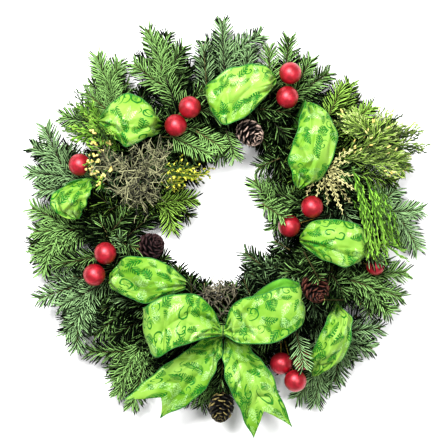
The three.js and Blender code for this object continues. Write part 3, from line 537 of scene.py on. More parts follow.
def sprig_pattern(finish, scale, shift):
    """Leaf sprigs and curls strewn over the cloth, each turned its own way: a dark print and a pale one."""
    cloth = finish.coordinates("UV")
    ruffle = finish.node("ShaderNodeTexNoise", {}, {"Scale": 6, "Detail": 3, "Vector": cloth}, "Color")
    place = finish.vector_maths("MULTIPLY_ADD", ruffle, (0.08, 0.08, 0), cloth)
    place = finish.vector_maths("ADD", place, (shift, shift, 0))
    cell = finish.node("ShaderNodeTexVoronoi", {"voronoi_dimensions": "2D"},
                       {"Scale": scale, "Randomness": 0.7, "Vector": place}, "Color")
    chance, kind, _ = cell.channels()
    centre = Value(finish, cell.socket.node.outputs["Position"])
    x, y, _ = finish.vector_maths("SUBTRACT", place, centre).channels()
    x, y = x * scale / 4.2, y * scale / 4.2
    turn = chance * 6.283
    cosine, sine = (turn + math.pi / 2).sine(), turn.sine()
    a = x * cosine + y * sine
    b = y * cosine - x * sine - a * a * 2.4
    # a curved stem with slanting leaves up both sides
    taper = (1 - (a / 0.15) * (a / 0.15)).most(0)
    inside = 1 - (b.size() - taper * 0.07).within(-0.008, 0.004)
    leaves = 1 - (((a + b.size() * 0.9) * 25).fraction() - 0.5).size().within(0.25, 0.37)
    stem = (1 - b.size().within(0.006, 0.011)) * (1 - a.size().within(0.14, 0.16))
    sprig = (inside * leaves).most(stem)
    # a curl that tapers as it winds in
    reach = (x * x + y * y) ** 0.5
    angle = y.arctan2(x) / 6.283 + chance
    wound = ((reach * 8.5 - angle).fraction() - 0.5).size()
    curl = (1 - wound.within(0.08, 0.14)) * (1 - reach.within(0.125, 0.135))
    is_curl = kind.within(0.3, 0.31) * (1 - kind.within(0.46, 0.47))
    is_pale = kind.within(0.68, 0.69)
    dark = (sprig * (1 - is_curl) + curl * is_curl) * (1 - is_pale)
    return dark, sprig * is_pale


def weave(u, v):
    return (u * THREADS).sine() * (v * THREADS).sine()


def ribbon_finish():
    """Lime satin with a fine weave, printed with emerald and pale glitter sprigs."""
    finish = Finish("lime_satin_printed", Sheen_Weight=0.04, Sheen_Roughness=0.4, IOR=1.45,
                    Specular_IOR_Level=0.2)
    u, v, _ = finish.coordinates("UV").channels()
    off_middle = (v - 0.5).size()
    dark, pale = sprig_pattern(finish, 3.4, 0)
    fine_dark, fine_pale = sprig_pattern(finish, 4.9, 7.3)
    cloth = finish.blend(finish.noise(24).within(0.32, 0.7), (94, 138, 35), (125, 161, 68))
    glitter = finish.cells(1100, "Color").channels()[0]
    dusted = glitter.within(0.2, 0.5)
    fine_parts = off_middle.within(0.02, 0.22) * finish.noise(30, 2).within(0.32, 0.42)
    ink = dark.most(fine_dark * fine_parts) * (0.84 + dusted * 0.16)
    shine = pale.most(fine_pale * finish.noise(34, 2).within(0.46, 0.56)) * dusted
    inked = finish.blend(ink, cloth, finish.blend(glitter, (0, 46, 4), (0, 112, 24)))
    shining = finish.blend(shine * 0.6, inked, (166, 206, 140))
    finish.paint(off_middle.within(0.47, 0.49) * 0.8, shining, (34, 104, 30))
    finish.set(Roughness=0.5 + ink * 0.1 - shine * 0.15, Metallic=shine * 0.3)
    return finish.bumped(weave(u, v) * 0.15 + ink + shine + glitter * ink, 0.0002, 0.5)


def ribbon_back_finish():
    """The plain inner side of the ribbon."""
    finish = Finish("lime_satin_plain", Sheen_Weight=0.1, Sheen_Roughness=0.4, Specular_IOR_Level=0.3)
    u, v, _ = finish.coordinates("UV").channels()
    finish.paint(finish.noise(22).within(0.3, 0.7), (62, 122, 24), (88, 150, 42))
    finish.set(Roughness=0.5 + finish.noise(80, 2) * 0.1)
    return finish.bumped(weave(u, v), 0.0001, 0.5)


def hem_finish():
    finish = Finish("ribbon_wired_edge", Metallic=0.2)
    stitch = (finish.noise(500, 2) - 0.5).size()
    finish.paint(stitch * 3, (10, 84, 28), (84, 150, 60))
    finish.set(Roughness=0.45 + stitch)
    return finish.bumped(stitch, 0.0003, 0.6)


def floor_finish():
    finish = Finish("pale_floor", 0.75)
    finish.paint(finish.noise(2, 2), (0.95, 0.95, 0.95, 1), (0.97, 0.97, 0.97, 1))
    return finish.material


# For each: the near-black at the painted-shade end, the pale green at the painted-highlight end with the
# needles' own greens between, and the silvery underside.
NEEDLES = {
    "green": needle_finish("fir_needles_green", (1, 10, 1), (144, 186, 110), (54, 84, 46)),
    "blue": needle_finish("fir_needles_blue_green", (2, 12, 3), (150, 186, 130), (60, 90, 56)),
    "yellow": needle_finish("fir_needles_light", (3, 15, 1), (158, 200, 92), (66, 94, 42)),
}
FIR_SLOTS = {"green": "fir_green", "blue": "fir_blue_green", "yellow": "fir_yellow_green"}
BARK = bark_finish("fir_bark", (30, 26, 12), (92, 84, 42))
BUD = bark_finish("fir_buds", (84, 70, 30), (132, 118, 60))
DRY_BARK = bark_finish("dry_twig_bark", (5, 7, 2), (152, 152, 114), 200)
DARK_BARK = bark_finish("dark_twig_bark", (20, 18, 12), (122, 116, 94), 200)
POLLEN = pollen_finish()
# What each spray of strings wears: its leaves, its small cones or tips, and its old strands.
# Each scale-leaf finish runs from its darkest colour at the painted-shade end to its lighter one at the
# painted-light end.
LEAVES = {
    "cedar_e": [
        scale_leaf_finish("cedar_leaves", (10, 30, 2), (134, 164, 72), (206, 216, 146), 0.6),
        POLLEN,
        scale_leaf_finish("straw_cedar_leaves", (50, 46, 20), (204, 200, 138), (228, 222, 168), 0.6),
    ],
    "cedar_w": [
        scale_leaf_finish("green_cedar_leaves", (10, 34, 2), (112, 160, 54), (172, 200, 96), 0.7),
        POLLEN,
    ],
    "cedar_inner": [
        scale_leaf_finish("gold_tipped_cedar_leaves", (12, 36, 6), (70, 104, 32), (214, 204, 76), 0.42),
        scale_leaf_finish("gold_cedar_tips", (92, 108, 14), (186, 184, 66), (214, 208, 104), 0.4),
    ],
    "cypress_e": [scale_leaf_finish("cypress_leaves", (4, 28, 0), (118, 174, 50), (162, 208, 88), 0.55)],
}
CONE_WOOD = {
    "cone_n": cone_finish("cone_wood_brown", (9, 5, 4), (182, 158, 144), 0.8),
    # cone_w: its own dark purple-brown, darkened further as painted shade from the needles that lie over it
    "cone_w": cone_finish("cone_wood_purple_painted_shade", (8, 4, 5), (50, 28, 29), 0.66),
    "cone_se": cone_finish("cone_wood_red", (18, 8, 6), (92, 52, 40), 0.7),
    "cone_s": cone_finish("cone_wood_dark", (5, 5, 3), (150, 136, 84), 0.86),
}
MOSS = moss_finish()
FRAME_WIRE = wire_finish("green_frame_wire", (44, 62, 44), (86, 88, 80), 0.7)
GREEN_WIRE = wire_finish("green_binding_wire", (30, 62, 34), (90, 104, 84), 0.5)
BRASS = wire_finish("brassy_cap_and_wire", (196, 166, 88), (150, 122, 62), 1.0)
RED = bauble_finish()
RIBBON = ribbon_finish()
RIBBON_BACK = ribbon_back_finish()
HEM = hem_finish()

# ---------------------------------------------------------------- modelling by hand


def fresh_start():
    """Nothing selected, so that an operator acts only on what is added next."""
    bpy.ops.object.select_all(action="DESELECT")


def added(name):
    piece = bpy.context.object
    piece.name = name
    piece.data.name = name
    return piece


def only(piece):
    fresh_start()
    piece.select_set(True)
    bpy.context.view_layer.objects.active = piece


def settled(piece):
    """Puts the piece's place into its mesh."""
    only(piece)
    bpy.ops.object.transform_apply(location=True, rotation=True, scale=True)
    return piece


def modified(piece, kind, **settings):
    only(piece)
    modifier = piece.modifiers.new(kind.title(), kind)
    for name, value in settings.items():
        setattr(modifier, name, value)
    bpy.ops.object.modifier_apply(modifier=modifier.name)
    return piece


def reworked(piece, operator, **settings):
    """An operator on the piece's whole mesh."""
    only(piece)
    bpy.ops.object.mode_set(mode="EDIT")
    bpy.ops.mesh.select_all(action="SELECT")
    operator(**settings)
    bpy.ops.object.mode_set(mode="OBJECT")
    return piece


def smoothed(piece):
    only(piece)
    bpy.ops.object.shade_smooth()
    return piece


def finished(piece, slot, *replaced, materials=()):
    """A piece's finishes, the body that it rides on and the nodes that it stands for. Its slot is not used.
    """
    for material in materials:
        piece.data.materials.append(material)
    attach(piece, "root")
    if replaced:
        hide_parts(*replaced)
    return piece


def points_of(piece):
    flat = np.empty(3 * len(piece.data.vertices))
    piece.data.vertices.foreach_get("co", flat)
    return flat.reshape(-1, 3)


def move_points(piece, points):
    piece.data.vertices.foreach_set("co", np.asarray(points, dtype=float).ravel())
    piece.data.update()


class Bit:
    """A small form, modelled once and copied many times. It runs along Y from 0 to 1, with +Z as its top."""

    def __init__(self, piece):
        self.points = points_of(piece)
        faces = piece.data.polygons
        self.totals = np.array([len(face.vertices) for face in faces])
        self.corners = np.array([v for face in faces for v in face.vertices])
        self.along = self.points[:, 1].clip(0, 1)
        self.rise = self.points[:, 2] / np.abs(self.points[:, 2]).max()
        bpy.data.objects.remove(piece)


def drawn_out(name, sides, *stations):
    """A slender form: an end extruded through (distance, half width, half thickness) to a point at 1."""
    fresh_start()
    bpy.ops.mesh.primitive_circle_add(vertices=sides, radius=1, fill_type="NGON",
                                      rotation=(-math.pi / 2, 0, 0))
    piece = settled(added(name))
    bpy.ops.object.mode_set(mode="EDIT")
    bpy.ops.mesh.select_all(action="SELECT")
    start, width, thick = stations[0]
    bpy.ops.transform.resize(value=(width, 1, thick))
    bpy.ops.transform.translate(value=(0, start, 0))
    for far, wide, deep in stations[1:]:
        bpy.ops.mesh.extrude_region_move(TRANSFORM_OT_translate={"value": (0, far - start, 0)})
        bpy.ops.transform.resize(value=(wide / width, 1, deep / thick))
        start, width, thick = far, wide, deep
    bpy.ops.mesh.extrude_region_move(TRANSFORM_OT_translate={"value": (0, 1.0 - start, 0)})
    bpy.ops.mesh.merge(type="CENTER")
    bpy.ops.object.mode_set(mode="OBJECT")
    return reworked(piece, bpy.ops.mesh.normals_make_consistent, inside=False)


def cone_scale():
    """A woody scale: thin where it joins the core, and broad with a thick rounded end."""
    piece = drawn_out("cone_scale", 6, (0, 0.14, 0.03), (0.45, 0.3, 0.04), (0.78, 0.42, 0.06),
                      (0.93, 0.36, 0.09))
    points = points_of(piece)
    points[:, 2] += 0.16 * points[:, 1] ** 2 - 0.35 * points[:, 0] ** 2
    move_points(piece, points)
    return Bit(piece)


def strut_bar():
    """A strut: a bar with rounded long edges and crushed ends."""
    fresh_start()
    bpy.ops.mesh.primitive_cube_add(size=1, location=(0, 0.5, 0), scale=(2, 1, 2))
    piece = settled(added("strut_bar"))
    return Bit(modified(piece, "BEVEL", width=0.35, segments=3, limit_method="NONE", offset_type="OFFSET",
                        use_clamp_overlap=True))


NEEDLE = Bit(drawn_out("needle", 4, (0, 0.32, 0.3), (0.18, 1, 0.9), (0.8, 0.9, 0.8)))
FIBRE = Bit(drawn_out("fibre", 3, (0, 1, 1), (0.6, 0.7, 0.7)))
BEAD = Bit(drawn_out("bead", 6, (0, 0.5, 0.5), (0.2, 0.9, 0.9), (0.5, 1, 1), (0.8, 0.8, 0.8)))
BUD_BIT = Bit(drawn_out("bud", 6, (0, 0.6, 0.6), (0.3, 1, 1), (0.7, 0.75, 0.75)))
LEAFLET = Bit(drawn_out("leaflet", 4, (0, 0.7, 0.7), (0.2, 1, 1), (0.26, 0.72, 0.72), (0.46, 1, 1),
                        (0.52, 0.7, 0.7), (0.72, 0.85, 0.85), (0.78, 0.6, 0.6), (0.93, 0.6, 0.6)))
SCALE = cone_scale()
STRUT = strut_bar()


def kept(mask, *arrays):
    return [array[mask] for array in arrays]


class Bunch:
    """Copies of bits, and rods, gathered into one mesh. Each copy carries its own marks for the finish."""

    def __init__(self):
        self.points, self.corners, self.totals, self.slots, self.marks = [], [], [], [], []
        self.size = 0

    def gather(self, points, corners, totals, slot, marks):
        self.points.append(points)
        self.corners.append(corners + self.size)
        self.totals.append(totals)
        self.slots.append(np.full(len(totals), slot))
        self.marks.append(marks)
        self.size += len(points)

    def stamp(self, bit, origin, across, along, above, tint, slot, bend=None):
        """A copy of the bit at each origin, with its three directions scaled to size."""
        k, n = len(origin), len(bit.points)
        if k == 0:
            return
        x, y, z = (bit.points[:, i][None, :, None] for i in range(3))
        lift = 0 if bend is None else y * y * bend[:, None, None]
        placed = origin[:, None] + across[:, None] * x + along[:, None] * y + above[:, None] * (z + lift)
        corners = (bit.corners[None] + (np.arange(k) * n)[:, None]).ravel()
        marks = np.ones((k, n, 4))
        marks[:, :, 0] = tint[:, None]
        marks[:, :, 1] = bit.along[None]
        marks[:, :, 2] = bit.rise[None]
        self.gather(placed.reshape(-1, 3), corners, np.tile(bit.totals, k), slot, marks.reshape(-1, 4))

    def rod(self, points, radii, slot=0, tint=0.5, sides=8):
        """A round rod through the points, with closed ends. It has one radius, or one for each point."""
        n = len(points)
        _, side, above = directions(points)
        turn = np.arange(sides) * 2 * math.pi / sides
        spoke = np.cos(turn)[None, :, None] * above[:, None] + np.sin(turn)[None, :, None] * side[:, None]
        rings = points[:, None] + spoke * np.broadcast_to(radii, n)[:, None, None]
        i, j = np.meshgrid(np.arange(n - 1), np.arange(sides), indexing="ij")
        here, there = i * sides, (i + 1) * sides
        k = (j + 1) % sides
        quads = np.stack([here + j, there + j, there + k, here + k], -1).reshape(-1)
        ends = np.concatenate([np.arange(sides), (n - 1) * sides + np.arange(sides)[::-1]])
        totals = np.concatenate([np.full((n - 1) * sides, 4), [sides, sides]])
        marks = np.ones((n * sides, 4))
        marks[:, 0] = tint
        marks[:, 1] = np.repeat(np.linspace(0, 1, n), sides)
        marks[:, 2] = 0
        self.gather(rings.reshape(-1, 3), np.concatenate([quads, ends]), totals, slot, marks)

    def piece(self, name):
        points, corners = np.concatenate(self.points), np.concatenate(self.corners)
        totals = np.concatenate(self.totals)
        mesh = bpy.data.meshes.new(name)
        mesh.vertices.add(len(points))
        mesh.vertices.foreach_set("co", points.ravel())
        mesh.loops.add(len(corners))
        mesh.loops.foreach_set("vertex_index", corners)
        mesh.polygons.add(len(totals))
        mesh.polygons.foreach_set("loop_start", np.concatenate([[0], np.cumsum(totals)[:-1]]))
        mesh.polygons.foreach_set("material_index", np.concatenate(self.slots))
        mesh.polygons.foreach_set("use_smooth", np.ones(len(totals), dtype=bool))
        mesh.update(calc_edges=True)
        marks = mesh.attributes.new("marks", "FLOAT_COLOR", "POINT")
        marks.data.foreach_set("color", np.concatenate(self.marks).ravel())
        piece = bpy.data.objects.new(name, mesh)
        bpy.context.scene.collection.objects.link(piece)
        return piece


# ---------------------------------------------------------------- paths


def unit(vectors):
    return vectors / np.maximum(1e-12, np.linalg.norm(vectors, axis=-1, keepdims=True))


def turned(angle, ahead, aside):
    """The way at an angle from one way towards another, for each angle."""
    return np.cos(angle)[:, None] * ahead + np.sin(angle)[:, None] * aside


def directions(points):
    """The way along, to the side and above at each point of a path."""
    tangent = unit(np.gradient(points, axis=0))
    up = np.where(np.abs(tangent[:, 2:]) > 0.95, [[0.0, 1.0, 0.0]], [[0.0, 0.0, 1.0]])
    side = unit(np.cross(tangent, up))
    for i in range(1, len(side)):
        if side[i] @ side[i - 1] < 0:
            side[i] = -side[i]
    return tangent, side, np.cross(side, tangent)


def directions_at(path, share):
    """The same three ways at shares of a path's points."""
    points = np.arange(len(path))
    index = share * (len(path) - 1)
    return [unit(np.stack([np.interp(index, points, way[:, i]) for i in range(3)], axis=1))
            for way in directions(path)]


def arc(start, middle, end, steps):
    """A quadratic Bezier."""
    t = np.linspace(0, 1, steps)[:, None]
    return (1 - t) ** 2 * start + 2 * t * (1 - t) * middle + t * t * end


def bowed(start, end, steps, rise, sideways=0):
    """An arc whose middle is drawn up, and to the right."""
    return arc(start, (start + end) / 2 + [sideways * MM, 0, rise * MM], end, steps)


def spline(points, t):
    """Centripetal Catmull-Rom through the points, at shares t of its spans."""
    p = np.asarray(points, dtype=float)
    p = np.vstack([2 * p[0] - p[1], p, 2 * p[-1] - p[-2]])
    spans = len(p) - 3
    where = np.clip(np.asarray(t) * spans, 0, spans - 1e-9)
    i = where.astype(int)
    w = (where - i)[:, None]
    a, b, c, d = p[i], p[i + 1], p[i + 2], p[i + 3]
    before, here, after = (np.sqrt(np.linalg.norm(y - x, axis=1))[:, None]
                           for x, y in ((a, b), (b, c), (c, d)))
    start = ((b - a) / before - (c - a) / (before + here) + (c - b) / here) * here
    end = ((c - b) / here - (d - b) / (here + after) + (d - c) / after) * here
    return ((2 * w**3 - 3 * w**2 + 1) * b + (w**3 - 2 * w**2 + w) * start
            + (3 * w**2 - 2 * w**3) * c + (w**3 - w**2) * end)


def smooth_path(points, steps):
    return spline(points, np.linspace(0, 1, steps))


def length_of(points):
    return np.linalg.norm(np.diff(points, axis=0), axis=1).sum()


def sampled(points, shares):
    """Points at shares of a path's length."""
    steps = np.concatenate([[0], np.cumsum(np.linalg.norm(np.diff(points, axis=0), axis=1))])
    wanted = np.asarray(shares) * steps[-1]
    return np.stack([np.interp(wanted, steps, points[:, i]) for i in range(3)], axis=1)


def ring_point(radius, degrees, z):
    """A point round the wreath's middle, in metres."""
    angle = math.radians(degrees)
    return np.array([radius * math.cos(angle), radius * math.sin(angle), z]) * MM


# ---------------------------------------------------------------- ribbon


def ribbon_surface(crown, left, right, notch, u, v):
    """Points at shares u along and v across as the solids have them, the way they face, and the width."""
    edges = [[at(*p) for p in edge] for edge in (left, right)]
    t = u * (1 - notch * (1 - np.abs(2 * v - 1)))
    a, b = (spline(edge, t) for edge in edges)
    ahead = sum(spline(edge, np.minimum(1, t + 0.01)) for edge in edges)
    behind = sum(spline(edge, np.maximum(0, t - 0.01)) for edge in edges)
    proud = unit(np.cross(b - a, ahead - behind))
    width = np.linalg.norm(b - a, axis=1)
    lift = crown * CROWN_SHARE * MM * np.minimum(1, width / (50 * MM)) ** 2 * (1 - (2 * v - 1) ** 2)
    return a + (b - a) * v[:, None] + proud * lift[:, None], proud, width, unit(b - a)


def folds(u, v, length, width, gathers, seed):
    """How far the folds lift the cloth: pleats that run out of the gathered ends, creases and tucks."""
    rng = random.Random(seed)
    run = u * length / RIBBON_WIDTH
    lift = np.zeros_like(u)
    for end in gathers:
        near = np.exp(-np.abs(u - end) * length / PLEAT_FADE)
        for k in range(PLEATS):
            middle = (k + rng.uniform(0.3, 0.7)) / PLEATS + rng.uniform(-0.6, 0.6) * (u - end)
            height = (1 if k % 2 else -1) * rng.uniform(*PLEAT_HEIGHT)
            lift += height * near * np.exp(-np.abs((v - middle) / PLEAT_SHARPNESS) ** 1.4)
    for fold in [CREASE] * CREASES + [TUCK] * TUCKS:
        angle = rng.uniform(0, math.pi)
        x = run - rng.uniform(0.1, 0.9) * length / RIBBON_WIDTH
        y = v - rng.uniform(0.05, 0.95)
        along = x * math.cos(angle) + y * math.sin(angle)
        across = y * math.cos(angle) - x * math.sin(angle) + rng.uniform(-0.6, 0.6) * along**2
        reach, sharp, height = (rng.uniform(*limits) for limits in fold)
        height *= rng.choice([-1, 1, -1])
        lift += height * np.exp(-((along / reach) ** 2) - (np.sqrt(across**2 + 0.0001) / sharp) ** 1.15)
    # long soft waves under all of these
    for k in range(4):
        phase, turn = rng.random(), rng.uniform(-1.5, 1.5)
        lift += 0.5 * np.sin(2 * math.pi * ((1 + k) * u + turn * v + phase)) * (0.4 + rng.random())
    return lift * MM * np.minimum(1, width / (26 * MM))


def edge_pull(u, v, seed):
    """How far the folds draw each wired edge in towards the middle of the ribbon."""
    rng = random.Random(seed + 100)
    pull = np.zeros_like(u)
    for sign in (-1, 1):
        here = (sign * (2 * v - 1)).clip(0, 1) ** 1.5 * sign
        for waves in (2, 3, 5):
            phase = rng.random()
            pull += here * rng.uniform(0.5, 1.1) * (1 + np.sin(2 * math.pi * (waves * u + phase)))
    return pull * (1 - np.abs(2 * u - 1) ** 4) * MM


def ribbon(name, shape, gathers, replaced, seed, notch=0.0, columns=140):
    """A stretch of ribbon with its folds, its thickness and its two wired edges."""
    length, crown, left, right = shape
    fresh_start()
    bpy.ops.mesh.primitive_grid_add(x_subdivisions=columns, y_subdivisions=RIBBON_ROWS, size=1)
    piece = added(name)
    grid = points_of(piece)
    u, v = grid[:, 0] + 0.5, grid[:, 1] + 0.5
    points, proud, width, side = ribbon_surface(crown, left, right, notch, u, v)
    hold = 1 - np.abs(2 * v - 1) ** 8
    points = points + proud * (folds(u, v, length, width, gathers, seed) * (0.45 + 0.55 * hold))[:, None]
    points = points - side * (edge_pull(u, v, seed) * np.minimum(1, width / (40 * MM)))[:, None]
    move_points(piece, points)
    corners = np.array([loop.vertex_index for loop in piece.data.loops])
    uv = np.stack([u[corners] * length / RIBBON_WIDTH + seed * PATTERN_SHIFT, v[corners]], axis=1)
    piece.data.uv_layers[0].data.foreach_set("uv", uv.ravel())
    # the printed side faces the way that the crown stands proud
    normal = np.array([p.normal for p in piece.data.polygons])
    middle = np.array([proud[list(p.vertices)].mean(0) for p in piece.data.polygons])
    if (normal * middle).sum() < 0:
        reworked(piece, bpy.ops.mesh.flip_normals)
    for material in (RIBBON, RIBBON_BACK):
        piece.data.materials.append(material)
    modified(piece, "SOLIDIFY", thickness=RIBBON_THICK * MM, offset=0, material_offset=1,
             material_offset_rim=0)
    smoothed(piece)
    hem = Bunch()
    order = np.lexsort((u, v))
    for chosen in (v < 1e-4, v > 1 - 1e-4):
        hem.rod(points[order][chosen[order]], HEM_RADIUS * MM, sides=6)
    hem = finished(hem.piece(name + "_edge"), "ribbon", materials=[HEM])
    finished(piece, "ribbon", replaced)
    return piece


def knot(name, pinch, seed):
    """The cloth gathered in the middle of the bow, in pleats that run from side to side."""
    low, high, width, depth = pinch
    fresh_start()
    bpy.ops.mesh.primitive_uv_sphere_add(**BALL_MESH, radius=1, rotation=(0, math.pi / 2, 0))
    piece = settled(added(name))
    points = points_of(piece)
    turn = np.arctan2(points[:, 2], points[:, 1])
    pleats = 1 + 0.07 * np.sin(9 * turn + 2.5 * points[:, 0] + seed) + 0.04 * np.sin(17 * turn + seed)
    waist = 0.8 + 0.25 * np.abs(points[:, 0])
    points[:, 1:] *= (pleats * waist)[:, None]
    points *= np.array([width / 2, depth / 2, (high - low) / 2]) * MM
    move_points(piece, points + at(*KNOT, (low + high) / 2))
    reworked(piece, bpy.ops.mesh.normals_make_consistent, inside=False)
    return finished(smoothed(piece), "ribbon", materials=[RIBBON])


ribbons = []
for seed, (name, shape) in enumerate(PUFFS.items(), 3):
    ribbons.append(ribbon(name, shape, (0, 0.93), name, seed))
for seed, (name, shape) in enumerate(LOOPS.items(), 21):
    ribbons.append(ribbon(name, shape, (0, 1), "bow_loops", seed, columns=150))
for seed, (name, shape) in enumerate(TAILS.items(), 31):
    ribbons.append(ribbon(name, shape, (0,), "bow_tails", seed, TAIL_NOTCH))
ribbons.append(knot("bow_knot", LOOP_PINCH, 0.4))
ribbons.append(knot("bow_knot_tails", TAIL_PINCH, 1.7))

# ---------------------------------------------------------------- baubles


def bauble(name, px, py, z, radius):
    """A blown ball drawn in to a short neck underneath."""
    fresh_start()
    bpy.ops.mesh.primitive_uv_sphere_add(**BALL_MESH, radius=radius * MM, location=at(px, py, z))
    piece = reworked(settled(added(name)), bpy.ops.mesh.select_all, action="DESELECT")
    bottom = (z - radius * 0.985) * MM
    for face in piece.data.polygons:
        face.select = all(piece.data.vertices[v].co.z < bottom for v in face.vertices)
    bpy.ops.object.mode_set(mode="EDIT")
    bpy.ops.mesh.select_mode(type="FACE")
    bpy.ops.mesh.inset(thickness=0.2 * MM)
    bpy.ops.mesh.extrude_region_move(TRANSFORM_OT_translate={"value": (0, 0, -0.3 * MM)})
    bpy.ops.object.mode_set(mode="OBJECT")
    return finished(smoothed(piece), "bauble", name, materials=[RED])


def cap(bunch, neck):
    """A crimped metal cap."""
    heights = np.array([0, 0.08, 0.5, 0.92, 1.0])
    radii = np.array([0.9, 1.0, 1.0, 1.06, 0.5]) * CAP_RADIUS * MM
    bunch.rod(neck[None] - np.outer(1 - heights, [0, 0, CAP_HEIGHT * MM]), radii, sides=24)


def cluster_wires(side, foot, balls):
    """The caps of a cluster and its wires, twisted together and pushed into the moss."""
    bunch = Bunch()
    necks = [at(px, py, z - radius - 0.35) for px, py, z, radius in balls]
    root = at(*foot, STALK_FOOT)
    below = np.array([0, 0, CAP_HEIGHT / 2 * MM])

    def elbow(neck, end):
        middle = (neck + end) / 2
        middle[2] = min(neck[2] - 8 * MM, 52 * MM)
        return middle

    moss_top = root + np.array([0, 0, (MOSS_TOP + 4 - STALK_FOOT) * MM])
    stem = smooth_path([necks[0] - below, elbow(necks[0], root), moss_top, root], 24)
    joint = stem[14]
    for i, neck in enumerate(necks):
        cap(bunch, neck)
        path = stem if i == 0 else smooth_path([neck - below, elbow(neck, joint), joint], 16)
        bunch.rod(path, PICK_RADIUS * MM)
    finished(bunch.piece("bauble_wire_" + side), "bauble_wire", "bauble_wire_" + side, materials=[BRASS])


balls_made = []
for side, (foot, balls) in BAUBLES.items():
    for i, ball in enumerate(balls):
        balls_made.append(bauble(f"bauble_{side}_{i + 1}", *ball))
    cluster_wires(side, foot, balls)

# ---------------------------------------------------------------- cones


def pine_cone(name, middle, tip, length, radius, foot):
    """Woody scales on a spiral round a tapered core, open at the base and closed at the tip."""
    axis = unit(np.array(tip, dtype=float))
    base = at(*middle) - axis * length / 2 * MM
    side = unit(np.cross(axis, [0.3, 1.0, 0.2]))
    other = np.cross(axis, side)
    bunch = Bunch()
    shares = np.linspace(0, 1, 9)
    core = (radius - 10) * MM * np.sin(math.pi * (0.14 + 0.8 * shares)) ** 0.7
    bunch.rod(base + np.outer(shares, axis) * length * MM * 0.9, core, 0, 0.0, 12)
    t = (np.arange(CONE_SCALES) + 0.5) / CONE_SCALES
    turn = np.arange(CONE_SCALES) * GOLDEN_TURN
    lean = np.radians(88 - 66 * t**1.7)
    heading = turned(lean, axis, turned(turn, side, other))
    reach = MM * (radius + 0.5) * np.sin(math.pi * (0.26 + 0.62 * t)) ** 0.9
    origin = base + np.outer(0.05 + 0.78 * t, axis) * length * MM
    above = unit(np.cross(np.cross(heading, axis), heading))
    across = np.cross(heading, above)
    rng = np.random.default_rng(len(name) + int(length))
    broad = reach * (0.88 - 0.1 * t)
    bunch.stamp(SCALE, origin, across * broad[:, None], heading * reach[:, None], above * broad[:, None],
                rng.random(CONE_SCALES), 0)
    root = at(*foot, STALK_FOOT)
    bend = (base + root) / 2
    bend[2] = max((MOSS_TOP + 10) * MM, base[2] * 0.8)
    moss_top = root + [0, 0, (MOSS_TOP + 3 - STALK_FOOT) * MM]
    bunch.rod(smooth_path([at(*middle), base, bend, moss_top, root], 24), STALK_RADIUS * MM, 1, 0.4)
    return finished(bunch.piece(name), "cone", name, materials=[CONE_WOOD[name], BARK])


cones_made = [pine_cone(name, *cone) for name, cone in CONES.items()]

# ---------------------------------------------------------------- what the foliage keeps clear of


points, faces = [], []
for piece in ribbons + balls_made + cones_made:
    faces += [tuple(len(points) + v for v in face.vertices) for face in piece.data.polygons]
    points += [tuple(p) for p in points_of(piece)]
dressing = BVHTree.FromPolygons(points, faces)


def is_free(start, way, reach):
    """Whether a straight bit meets none of the ribbon, baubles and cones, nor the surface below."""
    if start[2] + way[2] < FLOOR_ROOM * MM:
        return False
    return dressing.ray_cast(Vector(start), Vector(way), reach)[0] is None


def is_clear(start, end):
    return is_free(start, end - start, np.linalg.norm(end - start))


def free_ones(origin, heading):
    reach = np.linalg.norm(heading, axis=1)
    return np.array([is_free(o, h, r * REACH_ROOM) for o, h, r in zip(origin, heading, reach)], dtype=bool)


def draws(name, offset=0):
    """Random draws of a spray's own, the same on each run."""
    return np.random.default_rng(sum(map(ord, name)) + offset)


# ---------------------------------------------------------------- fir


def main_path(level, root, tip):
    px, py, lift = tip
    foot, end = at(*root, level["root"]), at(px, py, level["run"] + lift)
    middle = foot + 0.18 * (end - foot)
    middle[2] = level["run"] * MM
    return arc(foot, middle, end, 24)


def branch_path(trunk, share, tip, level):
    """Leaves the trunk at a share of its length and bends towards its tip."""
    start, ahead = sampled(trunk, [share, min(1, share + 0.05)])
    end = at(tip[0], tip[1], level["run"] + tip[2])
    along = unit(ahead - start)
    outward = unit((end - start) - along * ((end - start) @ along))
    middle = start + unit(outward + along) * 0.25 * np.linalg.norm(end - start)
    return arc(start, middle, end, 14)


def spray_paths(kind, level, root, tips):
    """The main stem of a spray, then its branches."""
    trunk = main_path(level, root, tips[0])
    length = length_of(trunk) / MM
    last = length - 5.4
    count = max(1, int((last - FIRST_FORK) // FORK_SPACING[kind]) + 1)
    forks = [last - (count - 1 - i) * FORK_SPACING[kind] for i in range(count)][:-1] or [last]
    return [trunk, *(branch_path(trunk, forks[i % len(forks)] / length, tip, level)
                     for i, tip in enumerate(tips[1:]))]


